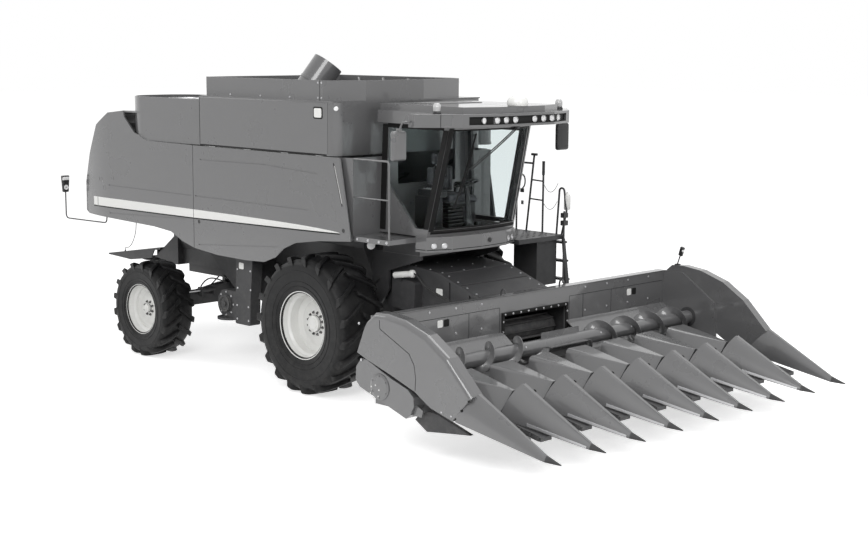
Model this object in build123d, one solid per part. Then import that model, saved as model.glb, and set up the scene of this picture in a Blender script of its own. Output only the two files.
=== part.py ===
from build123d import *
import math
import os

os.makedirs("parts", exist_ok=True)

# A self-propelled combine harvester with an eight-row maize header.
# Millimetres, +X forward, +Y to the machine's left, +Z up.
# Stations in X are measured from the front axle; save() moves them so that
# the origin lies on the ground under the middle of the machine.

# ---- driving dimensions -------------------------------------------------
FRONT_AXLE_X = 390            # front axle ahead of the machine's middle
WHEELBASE = 4000
REAR_AXLE_X = -WHEELBASE

ROWS = 8
ROW_SPACING = 762             # 30 inch rows

FRONT_TYRE_R = 1035           # to the lug tips
FRONT_TYRE_W = 800
FRONT_RIM_R = 510
FRONT_TRACK_HALF = 1480
FRONT_LUGS = 19               # lugs on each side of the tyre
REAR_TYRE_R = 785
REAR_TYRE_W = 580
REAR_RIM_R = 418
REAR_TRACK_HALF = 1695
REAR_LUGS = 17
LUG_HEIGHT = 52
RIM_WIDTH_SHARE = 0.44        # half the rim's width over the tyre's width
RIM_LIP = 22                  # flange above the bead seat
RUNNING_GAP = 0.3             # between seated pieces of different bodies
PIN_GAP = 0.1                 # round a pin in its bore

BODY_HALF = 1540              # half width over the side shields
SHIELD_T = 28                 # thickness of a side shield
BODY_TOP_SEAM = 3530          # top edge of the side shields
SHIELD_SEAM_X = -3050         # split between front and rear shields
PANEL_GAP = 12                # open joint between body panels
TANK_REAR_X = -2850
TANK_FRONT_X = 430
TANK_TOP = BODY_TOP_SEAM + 770
TANK_WALL = 40
EXTENSION_TOP = TANK_TOP + 310
EXTENSION_HALF = 1410
EXTENSION_REAR_X = -2820
EXTENSION_FRONT_X = 10
HOOD_REAR_X = REAR_AXLE_X - 1080  # air intake hood on the right of the engine deck
DECK_Z = BODY_TOP_SEAM + 420   # engine deck

CAB_REAR_X = 700
CAB_FLOOR_Z = 2420
CAB_TOP_Z = 4020
CAB_HALF_BASE = 910
CAB_HALF_TOP = 850
CAB_FRONT_BASE_X = 1680
CAB_FRONT_TOP_X = 2070
CAB_WALL = 50
GLASS_T = 6
VISOR_FRONT_X = 2760
VISOR_HALF = 1590
ROOF_TOP_Z = 4290

CAB_PLINTH_Z = 2120           # underside of the frame that carries the cab

FEEDER_PIVOT_X = 650
FEEDER_PIVOT_Z = 1700
FEEDER_HALF = 720
FEEDER_WALL = 25
HEADER_BACK_X = 2900          # rear face of the header's back sheet
HEADER_SHEET_T = 50
HEADER_BEAM = 150             # square beam along the top of the back sheet
HEADER_TOP_Z = 1700
HEADER_FLOOR_Z = 560
END_INSET = 28                # end plates stand inside the outermost dividers' middles
HEADER_HALF = ROWS * ROW_SPACING / 2 - END_INSET
END_SHIELD_W = 200            # width of the covers outside the end plates
SHIELD_OUT_HALF = HEADER_HALF + END_SHIELD_W
AUGER_X = 3420
AUGER_Z = 1030
AUGER_TUBE_R = 100
AUGER_FLIGHT_R = 205
AUGER_PITCH = 560
TIP_X = 6115                  # points of the snouts
TIP_Z = 400


# ---- small tools --------------------------------------------------------
def box(x0, x1, y0, y1, z0, z1):
    """block between two corners"""
    size = (abs(x1 - x0), abs(y1 - y0), abs(z1 - z0))
    middle = ((x0 + x1) / 2, (y0 + y1) / 2, (z0 + z1) / 2)
    return Pos(*middle) * Box(*size)


def prism(points, vector):
    """flat polygon given by its corners, pushed along a vector"""
    face = Face(Wire.make_polygon(points))
    return Solid.extrude(face, Vector(*vector))


def side_prism(outline, y0, y1, radius=0):
    """outline in X and Z, pushed from y0 to y1, with its corners rounded"""
    points = [(x, y0, z) for x, z in outline]
    if radius:
        face = make_face(FilletPolyline(*points, radius=radius, close=True)).face()
    else:
        face = Face(Wire.make_polygon(points))
    return Solid.extrude(face, Vector(0, y1 - y0, 0))


def plan_prism(outline, z0, z1, radius=0):
    """outline in X and Y, pushed from z0 to z1"""
    points = [(x, y, z0) for x, y in outline]
    if radius:
        face = make_face(FilletPolyline(*points, radius=radius, close=True)).face()
    else:
        face = Face(Wire.make_polygon(points))
    return Solid.extrude(face, Vector(0, 0, z1 - z0))


def front_prism(outline, x0, x1):
    """outline in Y and Z, pushed from x0 to x1"""
    return prism([(x0, y, z) for y, z in outline], (x1 - x0, 0, 0))


def rod(start, end, radius):
    """round bar between two points"""
    start, end = Vector(*start), Vector(*end)
    return Solid.make_cylinder(radius, (end - start).length, Plane(start, z_dir=end - start))


def pipe(points, radius, bend):
    """bent round bar along straight runs joined by arcs"""
    path = FilletPolyline(*points, radius=bend) if len(points) > 2 else Line(*points)
    plane = Plane(Vector(*points[0]), z_dir=Vector(*points[1]) - Vector(*points[0]))
    return sweep(plane * Circle(radius), path=path)


def turned(profile, x, y, z, outward=1):
    """ring or disc turned about a line along Y; profile holds (radius, offset outward)"""
    points = [(x, y + outward * offset, z + radius) for radius, offset in profile]
    face = Face(Wire.make_polygon(points))
    return Solid.revolve(face, 360, Axis((x, y, z), (0, 1, 0)))


def join(*pieces):
    """one body of material out of pieces that are welded or bolted together"""
    flat = []
    for piece in pieces:
        flat.extend(piece) if isinstance(piece, (list, tuple)) else flat.append(piece)
    return flat[0].fuse(*flat[1:]) if len(flat) > 1 else flat[0]


def group(*pieces):
    """solids of one node that stay apart"""
    flat = []
    for piece in pieces:
        flat.extend(piece) if isinstance(piece, (list, tuple)) else flat.append(piece)
    solids = [solid for piece in flat for solid in piece.solids()]
    return Compound(children=solids)


def mirrored(piece):
    """the same piece on the other side of the machine"""
    return mirror(piece, about=Plane.XZ)


def flat_solid(rings):
    """solid over rings of corners, with neighbouring rings joined by triangles"""
    faces = [Face(Wire.make_polygon(rings[0])), Face(Wire.make_polygon(rings[-1]))]
    for low, high in zip(rings, rings[1:]):
        for i in range(len(low)):
            j = (i + 1) % len(low)
            faces.append(Face(Wire.make_polygon([low[i], low[j], high[j]])))
            faces.append(Face(Wire.make_polygon([low[i], high[j], high[i]])))
    return Solid(Shell(faces))


def bolt_head(x, y0, y1, z, radius):
    """six-sided head of a bolt along Y"""
    corners = [(x + radius * math.cos(math.radians(60 * k)), y0,
                z + radius * math.sin(math.radians(60 * k))) for k in range(6)]
    return prism(corners, (0, y1 - y0, 0))


def save(name, shape):
    """write one node, moved from the front axle's frame to the machine's own"""
    if isinstance(shape, (list, tuple)):
        shape = group(*shape)
    solids = shape.solids()
    placed = Compound(children=[Pos(FRONT_AXLE_X, 0, 0) * solid for solid in solids])
    export_step(placed if len(solids) > 1 else Pos(FRONT_AXLE_X, 0, 0) * solids[0],
                f"parts/{name}.step")


# ---- wheels -------------------------------------------------------------
def tyre(x, y, tip_r, width, rim_r, lugs):
    """hollow tyre in flat facets, two to a lug, its cranked lugs rising out of the tread"""
    half = width / 2
    base_r = tip_r - LUG_HEIGHT
    seat_r = rim_r - RIM_LIP + RUNNING_GAP
    seat_y = RIM_WIDTH_SHARE * width - RIM_LIP - 1
    # across, tread radius, lug radius, facets turned, half a lug's width in facets
    tread = [(0, base_r, tip_r, 0, 0.20),
             (0.72 * half, base_r - 4, tip_r - 2, 1.22, 0.21),
             (half, base_r - 76, tip_r - 38, 1.60, 0.24)]
    flank = (rim_r + 70, 0.95 * half)
    bead = (seat_r / math.cos(math.pi / (2 * lugs)), seat_y)
    toe = (seat_r / math.cos(math.pi / lugs), seat_y - 22)
    liner = (base_r - 62, 0.80 * half)
    faces = []

    def face(*corners):
        faces.append(Face(Wire.make_polygon(corners)))

    for hand, first in ((1, 0), (-1, 1)):

        def corner(radius, across, turn, hand=hand):
            angle = math.pi * turn / lugs
            return x + radius * math.sin(angle), y + hand * across, tip_r + radius * math.cos(angle)

        for i in range(lugs):
            start = first + 2 * i
            low_l, low_r, low_m, low_n, top_l, top_r = [], [], [], [], [], []
            for across, low, top, turned_by, wide in tread:
                turn = start + turned_by
                low_l.append(corner(low, across, turn - wide))
                low_r.append(corner(low, across, turn + wide))
                low_m.append(corner(low, across, turn + 1 + wide))
                low_n.append(corner(low, across, turn + 2 - wide))
                top_l.append(corner(top, across, turn - wide))
                top_r.append(corner(top, across, turn + wide))
            for a, b in ((0, 1), (1, 2)):
                for low, top in ((low_l, top_l), (low_r, top_r), (top_l, top_r)):
                    face(low[a], top[a], top[b])
                    face(low[a], top[b], low[b])
                face(low_m[a], low_n[a], low_n[b])
                face(low_m[a], low_n[b], low_m[b])
            between = corner(base_r, 0, start + 1 - tread[0][4])  # edge of the other side's lug
            face(low_r[0], between, low_r[1])
            face(between, low_m[0], low_m[1])
            face(between, low_m[1], low_r[1])
            face(low_r[1], low_m[1], low_m[2])
            face(low_r[1], low_m[2], low_r[2])
            face(low_l[0], low_r[0], top_r[0], top_l[0])
            face(low_l[2], low_r[2], top_r[2], top_l[2])
            # sidewall, bead and inner wall
            turn = start + tread[2][3]
            flank_a, flank_b, flank_c = [corner(*flank, turn + k) for k in (0, 1, 2)]
            bead_a, bead_b, bead_c = [corner(*bead, turn + k) for k in (0, 1, 2)]
            toe_a, toe_c, liner_a, liner_c = [corner(*at, turn + k) for at in (toe, liner) for k in (0, 2)]
            face(low_l[2], low_r[2], flank_a)
            face(low_r[2], low_m[2], flank_b)
            face(low_r[2], flank_b, flank_a)
            face(low_m[2], low_n[2], flank_c)
            face(low_m[2], flank_c, flank_b)
            face(flank_a, flank_b, bead_b, bead_a)
            face(flank_b, flank_c, bead_c, bead_b)
            face(bead_a, bead_b, toe_a)
            face(bead_b, bead_c, toe_c)
            face(bead_b, toe_c, toe_a)
            face(toe_a, toe_c, liner_c, liner_a)
            across_from = corner(liner[0], -liner[1], turn + 1)
            face(liner_a, liner_c, across_from)
    return Solid(Shell(faces))


def rim(x, y, rim_r, width, side, dish, hub_r, bolts, bolt_r):
    """stepped barrel, dished disc and a bolted hub with its cap"""
    half = RIM_WIDTH_SHARE * width
    axle_z = FRONT_TYRE_R if x == 0 else REAR_TYRE_R
    well_r = rim_r - 58           # outside of the drop centre
    barrel = [
        (rim_r, half), (rim_r, half - 10), (rim_r - RIM_LIP, half - RIM_LIP), (rim_r - 28, half - 110),
        (well_r, half - 140), (well_r, -half + 150), (rim_r - 28, -half + 115),
        (rim_r - RIM_LIP, -half + RIM_LIP), (rim_r, -half + 10), (rim_r, -half),
        (rim_r - 34, -half + 6), (rim_r - 40, -half + 112), (well_r - 12, -half + 150),
        (well_r - 12, dish - 22), (0.66 * rim_r, dish - 34), (hub_r + 30, dish),
        (hub_r + 30, dish + 16), (0.66 * rim_r, dish - 16), (well_r - 12, dish - 4),
        (well_r - 12, half - 145), (rim_r - 40, half - 112), (rim_r - 12, half),
    ]
    shell = turned(barrel, x, y, axle_z, side)
    hub = turned([(0, dish), (hub_r + 32, dish), (hub_r + 32, dish + 24), (hub_r - 28, dish + 24),
                  (hub_r - 28, dish + 78), (hub_r - 60, dish + 92), (0, dish + 92)],
                 x, y, axle_z, side)
    heads = []
    for i in range(bolts):
        angle = math.radians(360 * (i + 0.5) / bolts)
        heads.append(bolt_head(x + bolt_r * math.cos(angle), y + side * (dish + 20), y + side * (dish + 44),
                               axle_z + bolt_r * math.sin(angle), 15))
    return join(shell, hub, heads)


FRONT_DISH = 60
REAR_DISH = 70
front_tyre = tyre(0, FRONT_TRACK_HALF, FRONT_TYRE_R, FRONT_TYRE_W, FRONT_RIM_R, FRONT_LUGS)
rear_tyre = tyre(REAR_AXLE_X, REAR_TRACK_HALF, REAR_TYRE_R, REAR_TYRE_W, REAR_RIM_R, REAR_LUGS)
front_rim = rim(0, FRONT_TRACK_HALF, FRONT_RIM_R, FRONT_TYRE_W, 1, FRONT_DISH, 150, 12, 165)
rear_rim = rim(REAR_AXLE_X, REAR_TRACK_HALF, REAR_RIM_R, REAR_TYRE_W, 1, REAR_DISH, 95, 8, 110)
for wheel_name, wheel in (("front_tyre", front_tyre), ("front_rim", front_rim),
                          ("rear_tyre", rear_tyre), ("rear_rim", rear_rim)):
    save(f"{wheel_name}_left", wheel)
    save(f"{wheel_name}_right", mirrored(wheel))

# ---- running gear -------------------------------------------------------
FINAL_DRIVE_R = 290
AXLE_HALF_X = 190
AXLE_TOP = FRONT_TYRE_R + 190
final_drives = []
for side in (1, -1):
    seat = FRONT_TRACK_HALF + FRONT_DISH - RUNNING_GAP
    final_drives.append(turned([(0, 640), (FINAL_DRIVE_R, 640), (FINAL_DRIVE_R, 860), (210, 960),
                                (210, 1240), (150, 1320), (150, seat), (0, seat)],
                               0, 0, FRONT_TYRE_R, side))
LIFT_Y = 560                  # lift cylinders of the feeder house
LIFT_BASE_X, LIFT_BASE_Z = 150, 760
LIFT_EYE_X, LIFT_EYE_Z = 2050, 760
CYLINDER_R, ROD_R, LIFT_PIN_R = 55, 28, 22
EAR_T, EYE_HALF = 26, 30
lift_ears = []
for y in (LIFT_Y, -LIFT_Y):
    for s in (1, -1):
        y0 = y + s * (EYE_HALF + RUNNING_GAP)
        ear = side_prism([(LIFT_BASE_X - 70, LIFT_BASE_Z - 50), (LIFT_BASE_X + 50, LIFT_BASE_Z - 50),
                          (LIFT_BASE_X + 50, 900), (LIFT_BASE_X - 70, 900)], y0, y0 + s * EAR_T)
        lift_ears.append(ear)
    lift_ears.append(rod((LIFT_BASE_X, y - EYE_HALF - EAR_T, LIFT_BASE_Z),
                         (LIFT_BASE_X, y + EYE_HALF + EAR_T, LIFT_BASE_Z), LIFT_PIN_R))
axle_beam = box(-AXLE_HALF_X, AXLE_HALF_X, -700, 700, FRONT_TYRE_R - 170, AXLE_TOP)
save("front_axle", join(axle_beam, final_drives, lift_ears))

REAR_AXLE_Z = 830
KINGPIN_Y = 1270
KINGPIN_R = 40
BEAM_HALF_H = 80
FORK_HALF_H = 190
OSCILLATION_Z = REAR_AXLE_Z + 170
rear_beam_outline = [
    (-KINGPIN_Y - 70, REAR_AXLE_Z - BEAM_HALF_H), (KINGPIN_Y + 70, REAR_AXLE_Z - BEAM_HALF_H),
    (KINGPIN_Y + 70, REAR_AXLE_Z + BEAM_HALF_H), (KINGPIN_Y - 110, REAR_AXLE_Z + BEAM_HALF_H),
    (300, REAR_AXLE_Z + 230), (-300, REAR_AXLE_Z + 230),
    (-KINGPIN_Y + 110, REAR_AXLE_Z + BEAM_HALF_H), (-KINGPIN_Y - 70, REAR_AXLE_Z + BEAM_HALF_H),
]
rear_axle = front_prism(rear_beam_outline, REAR_AXLE_X - 95, REAR_AXLE_X + 95)
for side in (1, -1):
    rear_axle -= Pos(REAR_AXLE_X, side * KINGPIN_Y, REAR_AXLE_Z) * Cylinder(KINGPIN_R + PIN_GAP, 400)
HANGER_X = 180                # the two hangers before and behind the rear axle
oscillation_pin = rod((REAR_AXLE_X - HANGER_X - 60, 0, OSCILLATION_Z),
                      (REAR_AXLE_X + HANGER_X + 60, 0, OSCILLATION_Z), 45)
HITCH_R = 16.5                # drawbar hole for pulling the header's trailer
HITCH_Z, HITCH_T = 800, 40
HITCH_X = REAR_AXLE_X - 230
hitch = (box(HITCH_X - 70, REAR_AXLE_X - 90, -90, 90, HITCH_Z - HITCH_T / 2, HITCH_Z + HITCH_T / 2)
         - Pos(HITCH_X, 0, HITCH_Z) * Cylinder(HITCH_R, 2 * HITCH_T))
STEER_X, STEER_Z = REAR_AXLE_X + 150, 1000
steering = [rod((STEER_X, -560, STEER_Z), (STEER_X, -850, STEER_Z), 45),
            rod((STEER_X, -850, STEER_Z), (STEER_X, -1130, STEER_Z), 24)]
steering += [box(REAR_AXLE_X + 80, STEER_X + 40, y - 20, y + 20, 900, STEER_Z + 45) for y in (-580, -830)]
save("rear_axle", join(rear_axle, oscillation_pin, hitch, steering))

for name, side in (("left", 1), ("right", -1)):
    yk = side * KINGPIN_Y
    pin = rod((REAR_AXLE_X, yk, REAR_AXLE_Z - FORK_HALF_H),
              (REAR_AXLE_X, yk, REAR_AXLE_Z + FORK_HALF_H), KINGPIN_R)
    cheek = BEAM_HALF_H + RUNNING_GAP
    fork = [box(REAR_AXLE_X - 75, REAR_AXLE_X + 75, side * (KINGPIN_Y - 70), side * (KINGPIN_Y + 150),
                REAR_AXLE_Z + s * cheek, REAR_AXLE_Z + s * FORK_HALF_H) for s in (1, -1)]
    web = box(REAR_AXLE_X - 75, REAR_AXLE_X + 75, side * (KINGPIN_Y + 110),
              side * (KINGPIN_Y + 150), REAR_AXLE_Z - FORK_HALF_H, REAR_AXLE_Z + FORK_HALF_H)
    stub_end = side * (REAR_TRACK_HALF + REAR_DISH - RUNNING_GAP)
    stub = rod((REAR_AXLE_X, side * (KINGPIN_Y + 112), REAR_TYRE_R), (REAR_AXLE_X, stub_end, REAR_TYRE_R),
               90)
    save(f"knuckle_{name}", join(pin, fork, web, stub))

# ---- chassis ------------------------------------------------------------
FRAME_HALF = 640
FRAME_T = 60
FRAME_Z0, FRAME_Z1 = 1240, 1400
FRAME_REAR_X, FRAME_FRONT_X = REAR_AXLE_X - 450, 500
CHEEK_Y = 790                 # inner face of the plates that carry the feeder shaft and cab
CHEEK_T = 40
FEEDER_SHAFT_R = 60
rails = []
for side in (1, -1):
    inner, outer = side * (FRAME_HALF - FRAME_T), side * FRAME_HALF
    rails.append(box(FRAME_REAR_X, FRAME_FRONT_X, inner, outer, FRAME_Z0, FRAME_Z1))
    rails.append(box(-AXLE_HALF_X, AXLE_HALF_X, inner, outer, AXLE_TOP, FRAME_Z0))
    cheek = side_prism([(FRAME_FRONT_X - 60, FRAME_Z0), (FRAME_FRONT_X + 60, FRAME_Z0), (800, 1560),
                        (800, 1840), (1480, CAB_PLINTH_Z - 60), (1480, CAB_PLINTH_Z),
                        (FRAME_FRONT_X - 60, CAB_PLINTH_Z)],
                       side * CHEEK_Y, side * (CHEEK_Y + CHEEK_T))
    bore = rod((FEEDER_PIVOT_X, side * (CHEEK_Y - 10), FEEDER_PIVOT_Z),
               (FEEDER_PIVOT_X, side * (CHEEK_Y + CHEEK_T + 10), FEEDER_PIVOT_Z), FEEDER_SHAFT_R + PIN_GAP)
    rails.append(cheek - bore)
crossbars = [box(x - 50, x + 50, -FRAME_HALF, FRAME_HALF, FRAME_Z0, FRAME_Z0 + 120)
             for x in (FRAME_REAR_X + 50, REAR_AXLE_X + 350, -1900, 0)]
bulkhead = box(FRAME_FRONT_X - 60, FRAME_FRONT_X, -CHEEK_Y - CHEEK_T, CHEEK_Y + CHEEK_T,
               FRAME_Z0, FRAME_Z1)
hangers = []
for s in (1, -1):
    x = REAR_AXLE_X + s * HANGER_X
    hangers.append(box(x - 40, x + 40, -110, 110, OSCILLATION_Z - 80, FRAME_Z0))
    hangers.append(box(x - 40, x + 40, -FRAME_HALF, FRAME_HALF, FRAME_Z0, FRAME_Z0 + 120))
bore = rod((REAR_AXLE_X - 300, 0, OSCILLATION_Z), (REAR_AXLE_X + 300, 0, OSCILLATION_Z), 45 + PIN_GAP)
save("main_frame", join(rails, crossbars, bulkhead, hangers) - bore)

# threshing and separating body that sits on the frame rails, between the side shields
SEPARATOR_TOP = 2640
SEPARATOR_X = (FRAME_REAR_X - 10, FRAME_FRONT_X - 60)
SEPARATOR_HALF = 1000
separator_outline = [(-SEPARATOR_HALF, SEPARATOR_TOP), (SEPARATOR_HALF, SEPARATOR_TOP),
                     (SEPARATOR_HALF, 2150),
                     (760, 1650), (760, FRAME_Z1), (-760, FRAME_Z1), (-760, 1650), (-SEPARATOR_HALF, 2150)]
shoe_outline = [(REAR_AXLE_X + 720, 1740), (-2590, 1210), (-1900, 1210), (-1900, 2200),
                (REAR_AXLE_X + 720, 2200)]
shoe_sides = [side_prism(shoe_outline, side * (FRAME_HALF + 40), side * (BODY_HALF - 460))
              for side in (1, -1)]
save("separator_body", join(front_prism(separator_outline, *SEPARATOR_X), shoe_sides))
save("engine_block", box(REAR_AXLE_X - 350, REAR_AXLE_X + 750, -480, 480, SEPARATOR_TOP, 3480))

# ---- side shields, tail and tank ----------------------------------------
TAIL = [(REAR_AXLE_X - back, z) for back, z in
        ((2230, 2160), (2355, 2210), (2350, 2340), (2340, 2710), (2150, BODY_TOP_SEAM - 310),
         (1870, BODY_TOP_SEAM + 200), (1480, BODY_TOP_SEAM + 420), (1010, BODY_TOP_SEAM + 470))]
shield_top = BODY_TOP_SEAM - PANEL_GAP
front_shield_outline = [
    (SHIELD_SEAM_X + PANEL_GAP, 1862), (-2420, 1808), (-1700, 1800), (-1240, 1822), (-1000, 1910),
    (-800, 2060), (-480, 2190), (80, 2270), (755, 2325), (640, BODY_TOP_SEAM - 630), (520, shield_top),
    (SHIELD_SEAM_X + PANEL_GAP, shield_top),
]
rear_shield_outline = (
    [(SHIELD_SEAM_X, 1865), (REAR_AXLE_X + 640, 1940), (REAR_AXLE_X + 320, 2070),
     (REAR_AXLE_X - 150, 2110)] + TAIL
    + [(REAR_AXLE_X - 980, BODY_TOP_SEAM + 370), (REAR_AXLE_X - 700, BODY_TOP_SEAM + 120),
       (REAR_AXLE_X - 350, BODY_TOP_SEAM),
       (SHIELD_SEAM_X, shield_top)])
# pressed creases in the shields: start and end in X and Z
FRONT_CREASES = [((-2840, BODY_TOP_SEAM - 230), (-1230, BODY_TOP_SEAM - 210)),
                 ((-1230, BODY_TOP_SEAM - 210), (30, BODY_TOP_SEAM - 270)),
                 ((-2920, 1930), (-900, 2090)), ((SHIELD_SEAM_X + 60, 2710), (-200, 2710))]
REAR_CREASES = [((REAR_AXLE_X - 1490, 2710), (SHIELD_SEAM_X - 50, 2710)),
                ((REAR_AXLE_X - 1490, 2225), (-3250, 2320))]
FRONT_SLOT = ((390, BODY_TOP_SEAM - 100), (575, BODY_TOP_SEAM - 710))
CREASE_W, CREASE_DEPTH = 18, 9


def groove(ends, side, width, depth):
    """straight groove in the outer face of a side shield"""
    (x0, z0), (x1, z1) = ends
    length = math.hypot(x1 - x0, z1 - z0)
    dx, dz = -(z1 - z0) / length * width / 2, (x1 - x0) / length * width / 2
    corners = [(x0 + dx, z0 + dz), (x1 + dx, z1 + dz), (x1 - dx, z1 - dz), (x0 - dx, z0 - dz)]
    return side_prism(corners, side * (BODY_HALF - depth), side * (BODY_HALF + 5))


SHIELD_IN = BODY_HALF - SHIELD_T
HINGE_R = 6.7
SHIELD_HINGE_Z = BODY_TOP_SEAM - RUNNING_GAP - HINGE_R
for name, side in (("left", 1), ("right", -1)):
    shield = side_prism(front_shield_outline, side * SHIELD_IN, side * BODY_HALF)
    barrels = [rod((x, side * BODY_HALF, SHIELD_HINGE_Z), (x + 160, side * BODY_HALF, SHIELD_HINGE_Z),
                   HINGE_R)
               for x in (-2600, -1700, -800, 0)]
    for ends in FRONT_CREASES:
        shield -= groove(ends, side, CREASE_W, CREASE_DEPTH)
    shield -= groove(FRONT_SLOT, side, 26, SHIELD_T + 5)
    save(f"side_shield_{name}", join(shield, barrels))

TAIL_BEND_X = REAR_AXLE_X - 1500   # behind this the shields curve inward
TAIL_BEND_R = 4165
PLAN_Z0, PLAN_Z1 = 1700, BODY_TOP_SEAM + 770


def tail_plan(inset, z0, z1):
    """plan of the body between the shields, drawn in by an inset, with its curved tail"""
    half, radius = BODY_HALF - inset, TAIL_BEND_R - inset
    front = SHIELD_SEAM_X + 500
    arcs = {}
    for side in (1, -1):
        arcs[side] = [(TAIL_BEND_X - run, side * (half - radius + math.sqrt(radius ** 2 - run ** 2)), z0)
                      for run in (0, 600, 1200)]
    edges = [Line((front, -half, z0), (front, half, z0)), Line((front, half, z0), arcs[1][0]),
             ThreePointArc(*arcs[1]), Line(arcs[1][2], arcs[-1][2]), ThreePointArc(*arcs[-1]),
             Line(arcs[-1][0], (front, -half, z0))]
    return Solid.extrude(make_face(edges).face(), Vector(0, 0, z1 - z0))


rear_shields = side_prism(rear_shield_outline, -BODY_HALF - 10, BODY_HALF + 10) & (
    tail_plan(0, PLAN_Z0, PLAN_Z1) - tail_plan(SHIELD_T, PLAN_Z0 - 10, PLAN_Z1 + 10))
for side in (1, -1):
    for ends in REAR_CREASES:
        rear_shields -= groove(ends, side, CREASE_W, CREASE_DEPTH)
save("rear_shields", rear_shields)

# rear hood: one bent sheet between the rear shields, from the tail's lip to the engine deck
SHEET_T = 28
DECK_TOP = DECK_Z + 50
hood_front_x = TANK_REAR_X - RUNNING_GAP
inner_tail = [(x + SHEET_T, z - (SHEET_T if z > BODY_TOP_SEAM + 270 else 0)) for x, z in TAIL[1:]]
rear_hood = (side_prism(TAIL[1:] + [(hood_front_x, DECK_TOP), (hood_front_x, DECK_TOP - SHEET_T)]
                        + list(reversed(inner_tail)), -SHIELD_IN, SHIELD_IN)
             & tail_plan(SHIELD_T, PLAN_Z0, PLAN_Z1))
HOOD_TOP = DECK_Z + 300
HOOD_Y = (-SHIELD_IN + 1, -150)
HOOD_CORNER = 560


def hood_ring(inset, z0, z1):
    """plan of the intake hood drawn in by an inset, with a round rear end"""
    x0, x1 = HOOD_REAR_X + inset, hood_front_x - inset
    y0, y1 = HOOD_Y[0] + inset, HOOD_Y[1] - inset
    r = HOOD_CORNER - inset
    corners = [(x1, y0, z0), (x0, y0, z0), (x0, y1, z0), (x1, y1, z0)]
    path = FilletPolyline(*corners, radius=[20, r, r, 20], close=True)
    return Solid.extrude(make_face(path).face(), Vector(0, 0, z1 - z0))


HOOD_WALL = 24
save("rear_hood", rear_hood - hood_ring(-RUNNING_GAP, BODY_TOP_SEAM - 10, HOOD_TOP + 100))
intake_shell = (hood_ring(0, BODY_TOP_SEAM, HOOD_TOP) - hood_ring(HOOD_WALL, DECK_Z, HOOD_TOP + 10)
                - hood_ring(HOOD_WALL, BODY_TOP_SEAM - 10, DECK_Z - HOOD_WALL))
FAN_X, FAN_Y, FAN_R, SHROUD_TOP = REAR_AXLE_X + 50, -830, 430, DECK_Z + 280
shroud = (Pos(FAN_X, FAN_Y, (DECK_Z + SHROUD_TOP) / 2) * Cylinder(FAN_R, SHROUD_TOP - DECK_Z)
          - Pos(FAN_X, FAN_Y, DECK_Z + 190) * Cylinder(FAN_R - 25, 300))
fan_hub = Pos(FAN_X, FAN_Y, DECK_Z + 90) * Cylinder(110, 180)
save("intake_hood", join(intake_shell, shroud, fan_hub))

tank_mid_x = (TANK_REAR_X + TANK_FRONT_X) / 2
tank_len = TANK_FRONT_X - TANK_REAR_X
tank_outer = box(TANK_REAR_X, TANK_FRONT_X, -BODY_HALF, BODY_HALF, BODY_TOP_SEAM, TANK_TOP)
tank_outer = fillet(tank_outer.edges().filter_by(Axis.Z).sort_by(Axis.X)[-2:], 160)
tank_void = box(TANK_REAR_X + TANK_WALL, TANK_FRONT_X - TANK_WALL, -BODY_HALF + TANK_WALL,
                BODY_HALF - TANK_WALL, BODY_TOP_SEAM, TANK_TOP + 10)
tank_void = fillet(tank_void.edges().filter_by(Axis.Z).sort_by(Axis.X)[-2:], 160 - TANK_WALL)


def hopper(z0, size0, z1, size1):
    """pyramid-shaped tank floor between two heights"""
    rings = [[(tank_mid_x + i * length / 2, j * width / 2, z)
              for i, j in ((1, 1), (-1, 1), (-1, -1), (1, -1))]
             for z, (length, width) in ((z0, size0), (z1, size1))]
    return flat_solid(rings)


hopper_outer = hopper(SEPARATOR_TOP, (1400, 500), BODY_TOP_SEAM, (tank_len - 60, 2 * BODY_HALF - 120))
hopper_void = hopper(SEPARATOR_TOP + 60, (1300, 420), BODY_TOP_SEAM, (tank_len - 160, 2 * BODY_HALF - 240))
UNLOAD_R = 190
UNLOAD_X, UNLOAD_Y = 150, BODY_HALF + UNLOAD_R + 20
COLLAR_Z = BODY_TOP_SEAM + 70
collar = Pos(UNLOAD_X, UNLOAD_Y, COLLAR_Z - 20) * Cylinder(UNLOAD_R + 10, 40)
collar_arm = box(UNLOAD_X - 150, UNLOAD_X + 150, BODY_HALF - 10, UNLOAD_Y, COLLAR_Z - 40, COLLAR_Z)
grain_tank = join(tank_outer, hopper_outer, collar, collar_arm) - tank_void - hopper_void
save("grain_tank", grain_tank)

PANEL_T = 24
EXTENSION_PLAN = [
    (EXTENSION_REAR_X, -EXTENSION_HALF), (EXTENSION_FRONT_X, -EXTENSION_HALF),
    (EXTENSION_FRONT_X + 340, -870), (EXTENSION_FRONT_X + 340, 310),
    (EXTENSION_FRONT_X + 90, EXTENSION_HALF - 80), (EXTENSION_FRONT_X - 90, EXTENSION_HALF),
    (EXTENSION_REAR_X, EXTENSION_HALF),
]
extension_face = make_face(Polyline(*EXTENSION_PLAN, close=True)).face()
extension_inner = offset(extension_face, -PANEL_T, kind=Kind.INTERSECTION).face()
extension_void = Solid.extrude(Pos(0, 0, TANK_TOP - 10) * extension_inner, Vector(0, 0, 400))
extension = Solid.extrude(Pos(0, 0, TANK_TOP) * extension_face, Vector(0, 0, EXTENSION_TOP - TANK_TOP))
tank_lip = box(TANK_REAR_X + 10, TANK_FRONT_X - 60, -BODY_HALF + 10, BODY_HALF - 10, TANK_TOP,
               TANK_TOP + 18)
save("tank_extension", join(extension, tank_lip) - extension_void)

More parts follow.
